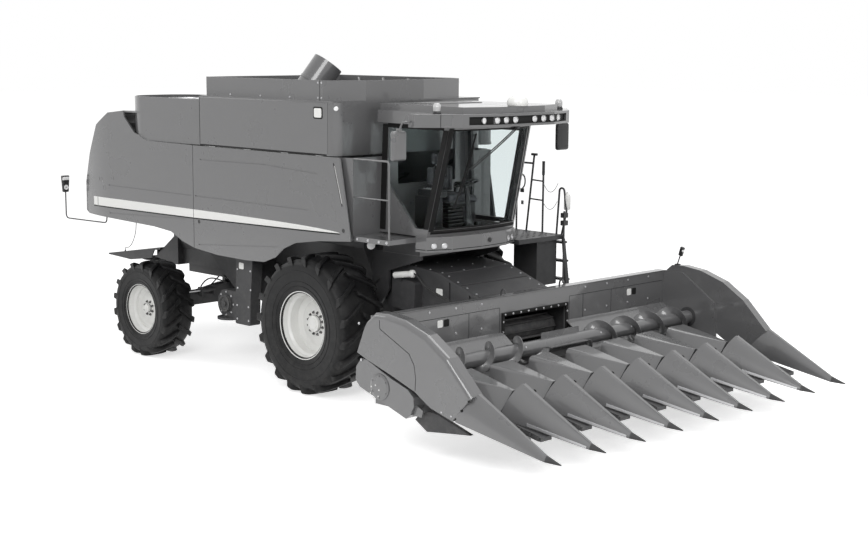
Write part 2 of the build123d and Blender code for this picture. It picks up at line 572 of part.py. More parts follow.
LOADING_R = 250
loading_foot, loading_mouth = (-2070, -1073, BODY_TOP_SEAM - 410), (-1500, 0, EXTENSION_TOP + 220)
loading_tube = rod(loading_foot, loading_mouth, LOADING_R)
bore_start = Vector(*loading_mouth) + (Vector(*loading_foot) - Vector(*loading_mouth)) * 0.25
bore_end = Vector(*loading_mouth) * 1.0 + (Vector(*loading_mouth) - Vector(*loading_foot)) * 0.05
loading_tube = loading_tube - rod(tuple(bore_start), tuple(bore_end), LOADING_R - 14)
auger_core = rod(tuple(bore_start), loading_mouth, 60)
loading_pieces = (join(loading_tube, auger_core) - grain_tank).solids()
save("loading_auger_tube", max(loading_pieces, key=lambda piece: piece.volume))

# unloading auger, folded back along the left of the tank
UNLOAD_Z = COLLAR_Z + 260
UNLOAD_END = (REAR_AXLE_X - 2150, UNLOAD_Y, UNLOAD_Z + 190)
elbow = rod((UNLOAD_X, UNLOAD_Y, COLLAR_Z + RUNNING_GAP), (UNLOAD_X, UNLOAD_Y, UNLOAD_Z + 60), UNLOAD_R)
boom = rod((UNLOAD_X, UNLOAD_Y, UNLOAD_Z), UNLOAD_END, UNLOAD_R)
spout = rod(UNLOAD_END, (UNLOAD_END[0] - 260, UNLOAD_Y, UNLOAD_END[2] - 380), UNLOAD_R - 15)
save("unloading_auger", join(elbow, boom, spout, Pos(UNLOAD_X, UNLOAD_Y, UNLOAD_Z) * Sphere(UNLOAD_R)))

# ---- cab ----------------------------------------------------------------
CAB_BOW = 110                 # how far the windscreen bows forward


def cab_plan(z, inset):
    """plan of the cab at one height: flat rear and sides, bowed front"""
    k = (z - CAB_FLOOR_Z) / (CAB_TOP_Z - CAB_FLOOR_Z)
    half = CAB_HALF_BASE + k * (CAB_HALF_TOP - CAB_HALF_BASE) - inset
    front = CAB_FRONT_BASE_X + k * (CAB_FRONT_TOP_X - CAB_FRONT_BASE_X) - inset
    rear = CAB_REAR_X + inset
    left, right = (front, half, z), (front, -half, z)
    edges = [ThreePointArc(right, (front + CAB_BOW, 0, z), left), Line(left, (rear, half, z)),
             Line((rear, half, z), (rear, -half, z)), Line((rear, -half, z), right)]
    return make_face(edges).face()


def cab_volume(inset, z0, z1):
    return loft([cab_plan(z0, inset), cab_plan(z1, inset)], ruled=True)


def side_cutter(outline, gap, y0, y1):
    """outline in X and Z drawn in by a gap and pushed from y0 to y1"""
    inner = offset(make_face(Polyline(*outline, close=True)).face(), -gap, kind=Kind.INTERSECTION).face()
    placed = Plane((0, y0, 0), x_dir=(1, 0, 0), z_dir=(0, -1, 0)) * inner
    return Solid.extrude(placed, Vector(0, y1 - y0, 0))


WINDOW_Z0, WINDOW_Z1 = 2530, 3950
DOOR_GAP = 8
DOOR_FRAME = 75
front_cut = front_prism([(-820, WINDOW_Z0), (820, WINDOW_Z0), (770, WINDOW_Z1), (-770, WINDOW_Z1)],
                        1300, 2500)
side_window = [(1600, WINDOW_Z0), (1950, WINDOW_Z1), (820, WINDOW_Z1), (820, 3150), (1440, WINDOW_Z0)]
doorway = [(1600, WINDOW_Z0 - 50), (1962, WINDOW_Z1 + 10), (800, WINDOW_Z1 + 10), (800, WINDOW_Z0 - 50)]
side_cut = side_prism(side_window, -1100, -600)
door_cut = side_prism(doorway, 600, 1100)
rear_cut = front_prism([(-600, 3100), (600, 3100), (600, WINDOW_Z1), (-600, WINDOW_Z1)], 600, 900)
cab_shell = (cab_volume(0, CAB_FLOOR_Z, CAB_TOP_Z)
             - cab_volume(CAB_WALL, CAB_FLOOR_Z + CAB_WALL, CAB_TOP_Z - CAB_WALL))
plinth = box(CAB_REAR_X, 1480, -850, 850, CAB_PLINTH_Z, CAB_FLOOR_Z)
cab_body = join(cab_shell - front_cut - side_cut - door_cut - rear_cut, plinth)
glass_skin = (cab_volume(15, CAB_FLOOR_Z, CAB_TOP_Z)
              - cab_volume(15 + GLASS_T, CAB_FLOOR_Z - 1, CAB_TOP_Z + 1))
save("cab_glass", group(glass_skin & front_cut, glass_skin & side_cut, glass_skin & rear_cut))
door_window = side_cutter(doorway, DOOR_FRAME, 600, 1100)
DOOR_HINGE_X, DOOR_HINGE_Y = 800, 925
door_frame = (cab_shell & side_cutter(doorway, DOOR_GAP, 600, 1100)) - door_window
HINGE_HEIGHTS = (2750, 3700)
HINGE_H = 40
frame_hinges, door_hinges = [], []
for z in HINGE_HEIGHTS:
    frame_hinges += [box(770, 800, 850, DOOR_HINGE_Y, z, z + HINGE_H),
                     Pos(DOOR_HINGE_X, DOOR_HINGE_Y, z + HINGE_H / 2) * Cylinder(12, HINGE_H)]
    top = z + HINGE_H + RUNNING_GAP
    door_hinges += [box(806, 850, 850, DOOR_HINGE_Y + 7, top, top + HINGE_H),
                    Pos(DOOR_HINGE_X, DOOR_HINGE_Y, top + HINGE_H / 2) * Cylinder(12, HINGE_H)]
save("cab_door", join(door_frame, door_hinges))
save("cab_door_glass", glass_skin & door_window)
save("cab_frame", join(cab_body, frame_hinges))

visor_half_plan = [(CAB_REAR_X, 960), (1600, 1000), (2000, VISOR_HALF), (2110, VISOR_HALF),
                   (2560, 1120), (VISOR_FRONT_X - 20, 590)]
cap_half_plan = [(CAB_REAR_X, 900), (1700, 940), (2450, 980), (VISOR_FRONT_X - 110, 480)]


def both_sides(half_plan):
    """plan closed with its mirror image"""
    return half_plan + [(x, -y) for x, y in reversed(half_plan)]


VISOR_TOP = 4200
visor = plan_prism(both_sides(visor_half_plan), CAB_TOP_Z, VISOR_TOP)
LAMP_Z = (CAB_TOP_Z + VISOR_TOP) / 2
LAMP_R = 48
LAMP_POCKET = 60
RECESS_DEPTH = 34             # trough across the visor's front in which the lamps sit
visor_front = [(2596, 1010), (VISOR_FRONT_X - 20, 590), (VISOR_FRONT_X - 20, -590), (2596, -1010)]
recess = plan_prism([(x - RECESS_DEPTH, y) for x, y in visor_front] + [(2900, -1010), (2900, 1010)],
                    LAMP_Z - 56, LAMP_Z + 56)
lamp_spots = [(VISOR_FRONT_X - 20 - RECESS_DEPTH - max(0, y - 590) * 0.34, side * y)
              for side in (1, -1) for y in (260, 490, 700, 890)]
visor -= recess
for x, y in lamp_spots:
    visor -= rod((x - LAMP_POCKET, y, LAMP_Z), (x + LAMP_POCKET, y, LAMP_Z), LAMP_R + 4)
cap = plan_prism(both_sides(cap_half_plan), VISOR_TOP, ROOF_TOP_Z)
save("cab_roof", join(visor, cap))

fascia_half_plan = [(1480, 940), (1690, 930), (1850, 560), (1900, 0)]
fascia = plan_prism(fascia_half_plan[:3] + [(1900, 0)]
                    + [(x, -y) for x, y in reversed(fascia_half_plan[:3])],
                    2200, CAB_FLOOR_Z)
FASCIA_LAMP_R, FASCIA_LAMP_Z = 40, 2290
OUTWARD = (0.918, 0.397)      # direction the slanted corner of the fascia faces
fascia_lamps = []
for side in (1, -1):
    for share in (0.3, 0.7):
        x, y = 1690 + share * 160, side * (930 - share * 370)

        def along(run):
            return x + run * OUTWARD[0], y + side * run * OUTWARD[1], FASCIA_LAMP_Z

        fascia -= rod(along(-45), along(60), FASCIA_LAMP_R + 4)
        fascia_lamps.append(rod(along(-45 + RUNNING_GAP), along(-4), FASCIA_LAMP_R))
save("cab_fascia", fascia)
save("fascia_lamps", group(fascia_lamps))

FLOOR_TOP = CAB_FLOOR_Z + CAB_WALL
seat = join(box(1000, 1480, -260, 260, 2850, 2960), box(980, 1080, -260, 260, 2960, 3560),
            box(1120, 1360, -150, 150, FLOOR_TOP, 2850))
save("cab_seat", seat)
column = join(box(1560, 1680, -60, 60, FLOOR_TOP, FLOOR_TOP + 60),
              rod((1630, 0, FLOOR_TOP + 50), (1570, 0, 3120), 35),
              Pos(1565, 0, 3130) * Rot(0, -20, 0) * Cylinder(190, 28))
console = box(1000, 1480, -480, -300, FLOOR_TOP, 3050)
save("cab_controls", group(column, console))

lamps = [rod((x - LAMP_POCKET + RUNNING_GAP, y, LAMP_Z), (x - 3, y, LAMP_Z), LAMP_R) for x, y in lamp_spots]
beacons = [Pos(2230, side * 1270, VISOR_TOP + 75) * Cylinder(60, 150) for side in (1, -1)]
dome = Pos(2560, 0, ROOF_TOP_Z + 70) * Cylinder(150, 140)
save("roof_lamps", group(lamps, beacons, dome))

mirrors = []
for s in (1, -1):
    arm = pipe([(2050, s * VISOR_HALF, 4100), (2050, s * 1700, 4100), (1935, s * 1700, 3940)], 14, 25)
    mirrors.append(join(arm, box(1890, 1975, s * 1560, s * 1840, 3560, 3975)))
save("mirrors", group(mirrors))

RAIL_R = 16
walk_out = BODY_HALF - 70
rail_y = -walk_out + 50
walkway = join(box(760, 1480, -walk_out, -850, 2330, 2400),
               pipe([(1440, rail_y, 2390), (1440, rail_y, 3510), (CAB_REAR_X + 1, rail_y, 3510)], RAIL_R,
                    60),
               rod((1440, rail_y, 2960), (CAB_REAR_X + 1, rail_y, 2960), 12))
save("walkway_right", walkway)
corner_out = BODY_HALF - 40
corner_panels = [plan_prism([(TANK_FRONT_X - 30, s * corner_out), (CAB_REAR_X, s * (corner_out - 60)),
                             (CAB_REAR_X, s * 840), (CAB_REAR_X - 30, s * 840),
                             (CAB_REAR_X - 30, s * (corner_out - 88)),
                             (TANK_FRONT_X - 30, s * (corner_out - 30))],
                            2330, shield_top) for s in (1, -1)]
save("front_corner_panels", group(corner_panels))

PLATFORM_Z = 2230
RAIL_Y = 1950
post_foot, post_top = (1011, RAIL_Y, PLATFORM_Z - 10), (1161, RAIL_Y, 3440)
bar_foot, bar_top = (1351, RAIL_Y, PLATFORM_Z - 10), (1356, RAIL_Y, 3330)


def on_post(z):
    """point of the leaning post at a height"""
    share = (z - post_foot[2]) / (post_top[2] - post_foot[2])
    return post_foot[0] + share * (post_top[0] - post_foot[0]), RAIL_Y, z


rails_left = [
    rod(post_foot, post_top, RAIL_R),
    rod((post_top[0] - 55, RAIL_Y, post_top[2]), (post_top[0] + 55, RAIL_Y, post_top[2]), 20),
    rod(bar_foot, bar_top, RAIL_R), rod((1355, RAIL_Y, 3130), (1356, RAIL_Y, 3345), 23),
    rod(on_post(3040), (1354, RAIL_Y, 3030), 12), rod(on_post(2740), (1352, RAIL_Y, 2730), 12),
    pipe([(800, RAIL_Y, PLATFORM_Z - 10), (800, RAIL_Y, 3300), on_post(3300)], RAIL_R, 60),
    pipe([(1641, RAIL_Y, PLATFORM_Z - 10), (1721, RAIL_Y, 3325), (1841, RAIL_Y, 2600),
          (1745, RAIL_Y, PLATFORM_Z - 10)], RAIL_R, 50),
    rod((1810, 1930, 1480), (1810, 1930, 2600), 14), box(1760, 1815, 1915, 1945, PLATFORM_Z - 60,
                                                         PLATFORM_Z - 20),
]
rails_left += [box(1780, 1850, 1880, 1980, z, z + 75) for z in (2380, 2500)]
platform = join(box(620, 1770, 945, 1980, PLATFORM_Z - 70, PLATFORM_Z),
                box(CAB_REAR_X, 1400, 850, 945, PLATFORM_Z - 70, PLATFORM_Z),
                box(1160, 1640, 1500, 1960, 1450, PLATFORM_Z - 70), rails_left)
LADDER_X, LADDER_Y = 1190, 2012
LADDER_LENGTH = 540
lug = box(LADDER_X - 30, LADDER_X + 30, 1970, LADDER_Y + 22, PLATFORM_Z - 70, PLATFORM_Z - 20)
ladder_bore = rod((LADDER_X, LADDER_Y, PLATFORM_Z - 100), (LADDER_X, LADDER_Y, PLATFORM_Z), 12 + PIN_GAP)
save("platform_left", join(platform, lug) - ladder_bore)
ladder_top = PLATFORM_Z - 70 - RUNNING_GAP
stiles = [prism([(x, 1990, ladder_top), (x, 2040, ladder_top), (x, 2300, 560), (x, 2180, 560)], (30, 0, 0))
          for x in (LADDER_X - 15, LADDER_X + LADDER_LENGTH - 15)]
treads = [box(LADDER_X, LADDER_X + LADDER_LENGTH, 1985 + 190 * k, 2110 + 190 * k, 2080 - 1480 * k,
              2110 - 1480 * k)
          for k in (0, 0.2, 0.4, 0.6, 0.8, 1.0)]
ladder_pin = rod((LADDER_X, LADDER_Y, ladder_top - 40), (LADDER_X, LADDER_Y, PLATFORM_Z - 20), 12)
save("ladder", join(stiles, treads, ladder_pin))

# ---- under-body pieces ------------------------------------------------------
boot_out, boot_in = BODY_HALF - 160, BODY_HALF - 360
elevator_leg = side_prism([(-2190, 720), (-1810, 720), (-1795, 1140), (-1740, 1700), (-1740, 2540),
                           (-2150, 2540), (-2150, 1700), (-2180, 1140)], -boot_out, -boot_in, 30)
boot = Pos(-2440, -(boot_out + boot_in) / 2, 1010) * Rot(90, 0, 0) * Cylinder(225, boot_out - boot_in - 20)
boot_web = side_prism([(-2440, 790), (-2150, 760), (-2150, 1230), (-2440, 1230)], -boot_out + 10,
                      -boot_in - 10)
foot = (Pos(-2460, -boot_out + 100, 770) * Cylinder(205, 36)
        + Pos(-2460, -boot_out + 100, 810) * Cylinder(90, 60))
save("elevator_right", join(elevator_leg, boot, boot_web, foot,
                            box(-2130, -1760, -boot_in - 10, -SEPARATOR_HALF, 2300, 2520)))
chopper_x = FRAME_REAR_X - 10
deck_rear, deck_front = chopper_x - 2090, chopper_x - 470
deck_sheet = side_prism([(deck_rear, 1340), (deck_rear, 1368), (deck_front, 1618), (deck_front, 1588)],
                        -900, 900)
skirts = [side_prism([(deck_rear, 1345), (chopper_x - 650, 1570), (chopper_x - 750, 1410),
                      (chopper_x - 1380, 1320)],
                     s * 880, s * 900) for s in (1, -1)]
spinners = []
for s in (1, -1):
    spinners += [Pos(chopper_x - 1150, s * 430, 1330) * Cylinder(320, 14),
                 Pos(chopper_x - 1150, s * 430, 1400) * Cylinder(60, 150)]
chopper_outline = [(chopper_x, 1370), (chopper_x - 170, 1370), (chopper_x - 680, 1440),
                   (chopper_x - 110, 1850),
                   (chopper_x - 110, 2050), (chopper_x, 2050)]
save("spreader_deck", join(deck_sheet, skirts, spinners, side_prism(chopper_outline, -860, 860)))
brackets = []
for s in (1, -1):
    y = s * (BODY_HALF - SHIELD_T / 2)
    lamp_x, lamp_y = REAR_AXLE_X - 2860, s * (BODY_HALF + 20)
    stem_x = REAR_AXLE_X - 1600
    stem = pipe([(stem_x, y, 2144), (stem_x, y, 2060), (lamp_x + 60, lamp_y, 2040),
                 (lamp_x, lamp_y, 2500)], 12, 30)
    brackets.append(join(stem, box(lamp_x - 35, lamp_x + 35, lamp_y - 80, lamp_y + 80, 2490, 2790)))
save("rear_lamp_brackets", group(brackets))

# ---- feeder house ---------------------------------------------------------
feeder_outline = [(FEEDER_PIVOT_X, FEEDER_PIVOT_Z + 240), (1100, 1950), (1790, 1890), (HEADER_BACK_X, 1500),
                  (HEADER_BACK_X, 700), (FEEDER_PIVOT_X + 160, 1160), (FEEDER_PIVOT_X - 60, 1430)]
feeder_inside = [(FEEDER_PIVOT_X - 80, FEEDER_PIVOT_Z + 200), (1100, 1920), (1790, 1860),
                 (HEADER_BACK_X + 20, 1460), (HEADER_BACK_X + 20, 735), (FEEDER_PIVOT_X + 170, 1190),
                 (FEEDER_PIVOT_X - 80, 1490)]
feeder = (side_prism(feeder_outline, -FEEDER_HALF, FEEDER_HALF)
          - side_prism(feeder_inside, -FEEDER_HALF + FEEDER_WALL, FEEDER_HALF - FEEDER_WALL))
feeder_shaft = rod((FEEDER_PIVOT_X, -CHEEK_Y - CHEEK_T, FEEDER_PIVOT_Z),
                   (FEEDER_PIVOT_X, CHEEK_Y + CHEEK_T, FEEDER_PIVOT_Z), FEEDER_SHAFT_R)
rod_ears = []
for y in (LIFT_Y, -LIFT_Y):
    for s in (1, -1):
        y0 = y + s * (EYE_HALF + RUNNING_GAP)
        rod_ears.append(side_prism([(LIFT_EYE_X - 45, LIFT_EYE_Z - 50), (LIFT_EYE_X + 45, LIFT_EYE_Z - 50),
                                    (LIFT_EYE_X + 90, 890), (LIFT_EYE_X - 90, 930)], y0, y0 + s * EAR_T))
ribs = []
for s in (1, -1):
    ribs.append(side_prism([(1790, 1850), (1790, 1890), (HEADER_BACK_X, 1500), (HEADER_BACK_X, 1460)],
                           s * FEEDER_HALF, s * (FEEDER_HALF + 22)))
    ribs.append(side_prism([(FEEDER_PIVOT_X + 250, 1215), (FEEDER_PIVOT_X + 250, 1175),
                            (HEADER_BACK_X, 745),
                            (HEADER_BACK_X, 785)], s * FEEDER_HALF, s * (FEEDER_HALF + 22)))
    for x, z0, z1 in ((1950, 980, 1790), (2350, 850, 1650), (2750, 770, 1510)):
        ribs.append(box(x - 12, x + 12, s * FEEDER_HALF, s * (FEEDER_HALF + 22), z0, z1))
gearcase = side_prism([(900, 1330), (1380, 1290), (1400, 1740), (920, 1780)], -FEEDER_HALF - 150,
                      -FEEDER_HALF, 60)
save("feeder_house", join(feeder, feeder_shaft, rod_ears, ribs, gearcase))

# ---- header frame -----------------------------------------------------------
sheet_x = HEADER_BACK_X + HEADER_SHEET_T
back_sheet = box(HEADER_BACK_X, sheet_x, -HEADER_HALF, HEADER_HALF, HEADER_FLOOR_Z, HEADER_TOP_Z)
opening = box(HEADER_BACK_X - 20, sheet_x + 20, -FEEDER_HALF + 40, FEEDER_HALF - 40, 780, 1440)
top_beam = box(HEADER_BACK_X - 90, HEADER_BACK_X, -HEADER_HALF, HEADER_HALF, HEADER_TOP_Z - HEADER_BEAM,
               HEADER_TOP_Z)
TROUGH_R = AUGER_FLIGHT_R + 20
TROUGH_T = 12
DECK_X = 3840                 # rear edge of the row decks
ring_out = Pos(AUGER_X, 0, AUGER_Z) * Rot(90, 0, 0) * Cylinder(TROUGH_R + TROUGH_T, 2 * HEADER_HALF)
ring_in = Pos(AUGER_X, 0, AUGER_Z) * Rot(90, 0, 0) * Cylinder(TROUGH_R, 2 * HEADER_HALF + 20)
keep = side_prism([(AUGER_X, AUGER_Z), (AUGER_X - 400, AUGER_Z + 20), (AUGER_X - 400, AUGER_Z - 400),
                   (AUGER_X + 300, AUGER_Z - 400)], -HEADER_HALF, HEADER_HALF)
trough = (ring_out - ring_in) & keep  # half round, under the auger
trough_rear = side_prism([(sheet_x, 1200), (AUGER_X - TROUGH_R, AUGER_Z),
                          (AUGER_X - TROUGH_R - 14, AUGER_Z),
                          (sheet_x, 1180)], -HEADER_HALF, HEADER_HALF)
trough_front = side_prism([(AUGER_X + 140, AUGER_Z - 190), (AUGER_X + 150, AUGER_Z - 175),
                           (DECK_X + 60, 770),
                           (DECK_X + 60, 750)], -HEADER_HALF, HEADER_HALF)
mouth = box(sheet_x - 10, AUGER_X - 150, -FEEDER_HALF + 40, FEEDER_HALF - 40, 700, 1440)
END_T = 30
end_outline = [(HEADER_BACK_X, HEADER_FLOOR_Z), (HEADER_BACK_X, HEADER_TOP_Z), (3300, HEADER_TOP_Z),
               (3900, 1300), (3960, 620), (3600, HEADER_FLOOR_Z)]
end_plates = [side_prism(end_outline, s * (HEADER_HALF - END_T), s * HEADER_HALF) for s in (1, -1)]
floor_beam = box(HEADER_BACK_X, DECK_X + 60, -HEADER_HALF, HEADER_HALF, 620, 680)
save("header_frame", join(back_sheet - opening, top_beam, end_plates, floor_beam))
skid_outline = [(3700, 500), (3765, 565), (3830, 605), (3950, 640), (4100, 630), (4660, 470), (4230, 420),
                (3910, 380)]
save("header_skids", group([side_prism(skid_outline, s * (HEADER_HALF + RUNNING_GAP),
                                       s * (HEADER_HALF + 60))
                            for s in (1, -1)]))
between_plates = box(sheet_x, DECK_X + 60, -HEADER_HALF + END_T, HEADER_HALF - END_T, HEADER_FLOOR_Z,
                     HEADER_TOP_Z)
save("auger_trough", join(trough_rear - mouth, trough - mouth, trough_front) & between_plates)

# ---- row units, dividers and covers ---------------------------------------
divider_y = [ROW_SPACING * (i - ROWS / 2) for i in range(ROWS + 1)]
row_y = [ROW_SPACING * (i - (ROWS - 1) / 2) for i in range(ROWS)]
unit_half = HEADER_HALF - END_T
ROW_DECK_X0, ROW_DECK_X1 = DECK_X + 170, 5350
ROW_DECK_Z0, ROW_DECK_Z1 = 735, 480


def deck_top(x):
    """height of the sloping row decks, on which the dividers rest"""
    return ROW_DECK_Z0 + (x - ROW_DECK_X0) / (ROW_DECK_X1 - ROW_DECK_X0) * (ROW_DECK_Z1 - ROW_DECK_Z0)


unit_beam = box(DECK_X + 60, DECK_X + 180, -unit_half, unit_half, 620, 740)
SLOT_HALF = 90                # half the gap between the deck plates of a row
CHAIN_IN = 66                 # inner side of the gathering chains
ROLL_Y, ROLL_R = 38, 33
FINGERS = 7                   # on each chain of a row


def fluted(x, y, z, root, crest):
    """star-shaped section of a stalk roll"""
    return [(x, y + r * math.cos(math.radians(30 * k)), z + r * math.sin(math.radians(30 * k)))
            for k, r in enumerate((crest, root) * 6)]


def row_unit(y):
    """deck plates, gathering chains with their fingers, and stalk rolls of one row"""
    pieces = []
    for s in (1, -1):
        pieces.append(side_prism([(ROW_DECK_X0, 660), (ROW_DECK_X1, ROW_DECK_Z1 - 50),
                                  (ROW_DECK_X1, ROW_DECK_Z1),
                                  (ROW_DECK_X0, ROW_DECK_Z0)], y + s * SLOT_HALF, y + s * 290))
        x0, x1 = ROW_DECK_X0 - 5, ROW_DECK_X1 - 20
        chain = [(x0, deck_top(x0) - 45), (x1, deck_top(x1) - 45), (x1, deck_top(x1) + 22),
                 (x0, deck_top(x0) + 22)]
        pieces.append(side_prism(chain, y + s * CHAIN_IN, y + s * SLOT_HALF))
        for k in range(FINGERS):
            x = x0 + 90 + 170 * k + (85 if s > 0 else 0)
            z = deck_top(x)
            pieces.append(prism([(x - 14, y + s * CHAIN_IN, z - 16), (x + 14, y + s * CHAIN_IN, z - 16),
                                 (x + 40, y + s * 22, z - 16), (x + 22, y + s * 22, z - 16)], (0, 0, 26)))
        roll_y, drop = y + s * ROLL_Y, 105
        pieces.append(flat_solid([fluted(DECK_X + 150, roll_y, deck_top(DECK_X + 150) - drop, 20, ROLL_R),
                                  fluted(5180, roll_y, deck_top(5180) - drop, 20, ROLL_R),
                                  fluted(5300, roll_y, deck_top(5300) - drop, 4, 10)]))
    return pieces


one_row = join(row_unit(0), box(DECK_X + 100, ROW_DECK_X0 + 20, -SLOT_HALF, SLOT_HALF, 600, 690))
save("row_units", join(unit_beam, [Pos(0, y, 0) * one_row for y in row_y]))

SNOUT_X0, SNOUT_X1 = 4700, 5900
SNOUT_RIDGE_X = SNOUT_X0 + 120  # rear end of the ridge, ahead of the side corners
SNOUT_HALF = 290
END_HALF = (SHIELD_OUT_HALF - HEADER_HALF) / 2 + 30
end_y = SHIELD_OUT_HALF - END_HALF


def arched(x, y, half, z_low, z_top, flat, bulge):
    """section of a divider: flat foot, bulging sides and a flat ridge"""
    middle = ((half + flat) / 2, (z_low + z_top) / 2)
    across, up = z_top - z_low, half - flat
    size = math.hypot(across, up)
    out = (middle[0] + bulge * across / size, middle[1] + bulge * up / size)
    left = [(x, y + half, z_low), (x, y + out[0], out[1]), (x, y + flat, z_top)]
    right = [(x, y - flat, z_top), (x, y - out[0], out[1]), (x, y - half, z_low)]
    edges = [ThreePointArc(*left), Line(left[2], right[0]), ThreePointArc(*right), Line(right[2], left[0])]
    return make_face(edges).face()


def ridge_z(x):
    """height of the snouts' ridge"""
    return 1015 + (x - SNOUT_RIDGE_X) / (SNOUT_X1 - SNOUT_RIDGE_X) * (470 - 1015)


snouts, tips = [], []
for y in divider_y:
    if abs(y) > HEADER_HALF:
        y = math.copysign(end_y, y)
        rear_x, half, low = 4540, END_HALF, 640
        behind = side_prism([(4440, 500), (4495.4, 640), (4540.4, 700), (4810.4, 990), (4900, 1300),
                             (4440, 1300)],
                            y - END_HALF - 20, y + END_HALF + 20)
    else:
        rear_x, half, low = SNOUT_X0 - 30, SNOUT_HALF, deck_top(SNOUT_X0 - 30) + RUNNING_GAP
        behind = plan_prism([(rear_x, y + half), (SNOUT_RIDGE_X, y), (rear_x, y - half),
                             (rear_x - 60, y - half),
                             (rear_x - 60, y + half)], low - 20, 1300)
    front = arched(SNOUT_X1, y, 50, 400, 470, 12, 6)
    snouts.append(loft([arched(rear_x, y, half, low, ridge_z(rear_x), 30, 36), front], ruled=True) - behind)
    tips.append(loft([front, arched(TIP_X, y, 8, 392, TIP_Z + 4, 3, 1)], ruled=True))
save("snouts", group(snouts))
save("snout_tips", group(tips))

# duck-billed hoods between the auger and the snouts: X, half foot, foot, half top, top
HOOD_STATIONS = [(3735, 262, 832, 215, 1018), (ROW_DECK_X0 + 5, 290, 742, 150, 984),
                 (SNOUT_X0 - 60, 290, None, 12, 905)]


def hood_section(x, y, half, low, flat, top):
    corner = 70 if flat > 100 else 6
    low = deck_top(x) + RUNNING_GAP if low is None else low
    corners = [(x, y - half, low), (x, y - flat - 12, top), (x, y + flat + 12, top), (x, y + half, low)]
    path = FilletPolyline(*corners, radius=[1, corner, corner, 1], close=True)
    return make_face(path).face()


hoods = []
for y in divider_y[1:-1]:
    sections = [hood_section(x, y, half, low, flat, top) for x, half, low, flat, top in HOOD_STATIONS]
    hoods.append(loft(sections, ruled=True))
save("row_hoods", group(hoods))
shield_outline = [(2770, 1240), (2960, 1690), (3080, 1790), (3290, 1800), (3620, 1760), (4020, 1630),
                  (4390, 1400), (4810, 990), (4540, 700), (4495, 640), (4110, 740), (3930, 840),
                  (3840, 895),
                  (3400, 1040), (2960, 1170)]
DOOR_GROOVE = [(3190, 1710), (3200, 1600), (3490, 1470), (3730, 1360), (3820, 1230), (3850, 1080),
               (3840, 910)]
end_shields = []
for s in (1, -1):
    shield = side_prism(shield_outline, s * HEADER_HALF, s * SHIELD_OUT_HALF)
    crown = [edge for edge in shield.edges()
             if abs(edge.center().Y - s * SHIELD_OUT_HALF) < 1 and edge.center().Z > 1180
             and edge.center().X > 2900]
    shield = fillet(crown, 70)
    for (x0, z0), (x1, z1) in zip(DOOR_GROOVE, DOOR_GROOVE[1:]):
        length = math.hypot(x1 - x0, z1 - z0)
        dx, dz = (z1 - z0) / length * 6, -(x1 - x0) / length * 6
        corners = [(x0 + dx, z0 + dz), (x1 + dx, z1 + dz), (x1 - dx, z1 - dz), (x0 - dx, z0 - dz)]
        shield -= side_prism(corners, s * (SHIELD_OUT_HALF - 12), s * (SHIELD_OUT_HALF + 5))
    end_shields.append(shield)
save("end_shields", group(end_shields))
cover_outline = [(2830, 1170), (2730, 1050), (2720, 870), (2800, 790), (3250, 650), (3660, 520),
                 (3740, 580),
                 (3800, 700), (3790, 810), (3690, 895), (3380, 990), (2940, 1160)]
DISC_X, DISC_Z, DISC_R = 3180, 850, 172
covers = []
for s in (1, -1):
    face_y = s * (SHIELD_OUT_HALF - 20)
    disc = turned([(0, -5), (DISC_R, -5), (DISC_R, 10), (DISC_R - 30, 18), (0, 18)], DISC_X, face_y,
                  DISC_Z, s)
    heads = [bolt_head(DISC_X + 140 * math.cos(math.radians(60 * k + 30)), face_y, face_y + s * 26,
                       DISC_Z + 140 * math.sin(math.radians(60 * k + 30)), 13) for k in range(6)]
    plate = side_prism([(3700, 750), (3920, 660), (3900, 570), (3700, 570)], face_y - s * 60,
                       face_y - s * 40)
    covers.append(join(side_prism(cover_outline, s * HEADER_HALF, face_y, 20), disc, heads, plate))
save("drive_covers", group(covers))
lamp_y = HEADER_HALF + 80
header_lamp = join(side_prism([(3085, 1790.5), (3165, 1794.4), (3165, 1806), (3085, 1802)], lamp_y - 30,
                              lamp_y + 30),
                   pipe([(3110, lamp_y, 1796), (3110, lamp_y, 1860), (3190, lamp_y, 1960)], 16, 40),
                   fillet(box(3130, 3270, lamp_y - 35, lamp_y + 35, 1840, 2090).edges().filter_by(Axis.Y),
                          55))
save("header_lamp", header_lamp)

# ---- cross auger --------------------------------------------------------------
auger_half = HEADER_HALF - END_T - RUNNING_GAP
auger_tube = rod((AUGER_X, -auger_half, AUGER_Z), (AUGER_X, auger_half, AUGER_Z), AUGER_TUBE_R)


def flight(y_start, y_end):
    """spiral plate swept round the tube"""
    root_r = AUGER_TUBE_R - 12
    helix = Helix(pitch=AUGER_PITCH, height=y_end - y_start, radius=root_r)
    outward = Vector(helix @ 0)
    plane = Plane(origin=outward, z_dir=helix % 0, x_dir=outward)
    strip = plane * Pos((AUGER_FLIGHT_R - root_r) / 2, 0, 0) * Rectangle(AUGER_FLIGHT_R - root_r, 12)
    place = Plane(origin=(AUGER_X, y_start, AUGER_Z), x_dir=(1, 0, 0), z_dir=(0, 1, 0)).location
    return place * sweep(strip, path=helix, is_frenet=True)


left_flight = flight(450, HEADER_HALF - 90)
PADDLE_HALF = 400             # flat paddles that push the crop into the feeder house
paddles = [Pos(AUGER_X, 0, AUGER_Z) * Rot(0, 90 * k, 0) * Pos(0, 0, (AUGER_TUBE_R + 175) / 2)
           * Box(10, 2 * PADDLE_HALF, 75 + 20) for k in range(4)]
save("cross_auger", join(auger_tube, left_flight, mirrored(left_flight), paddles))

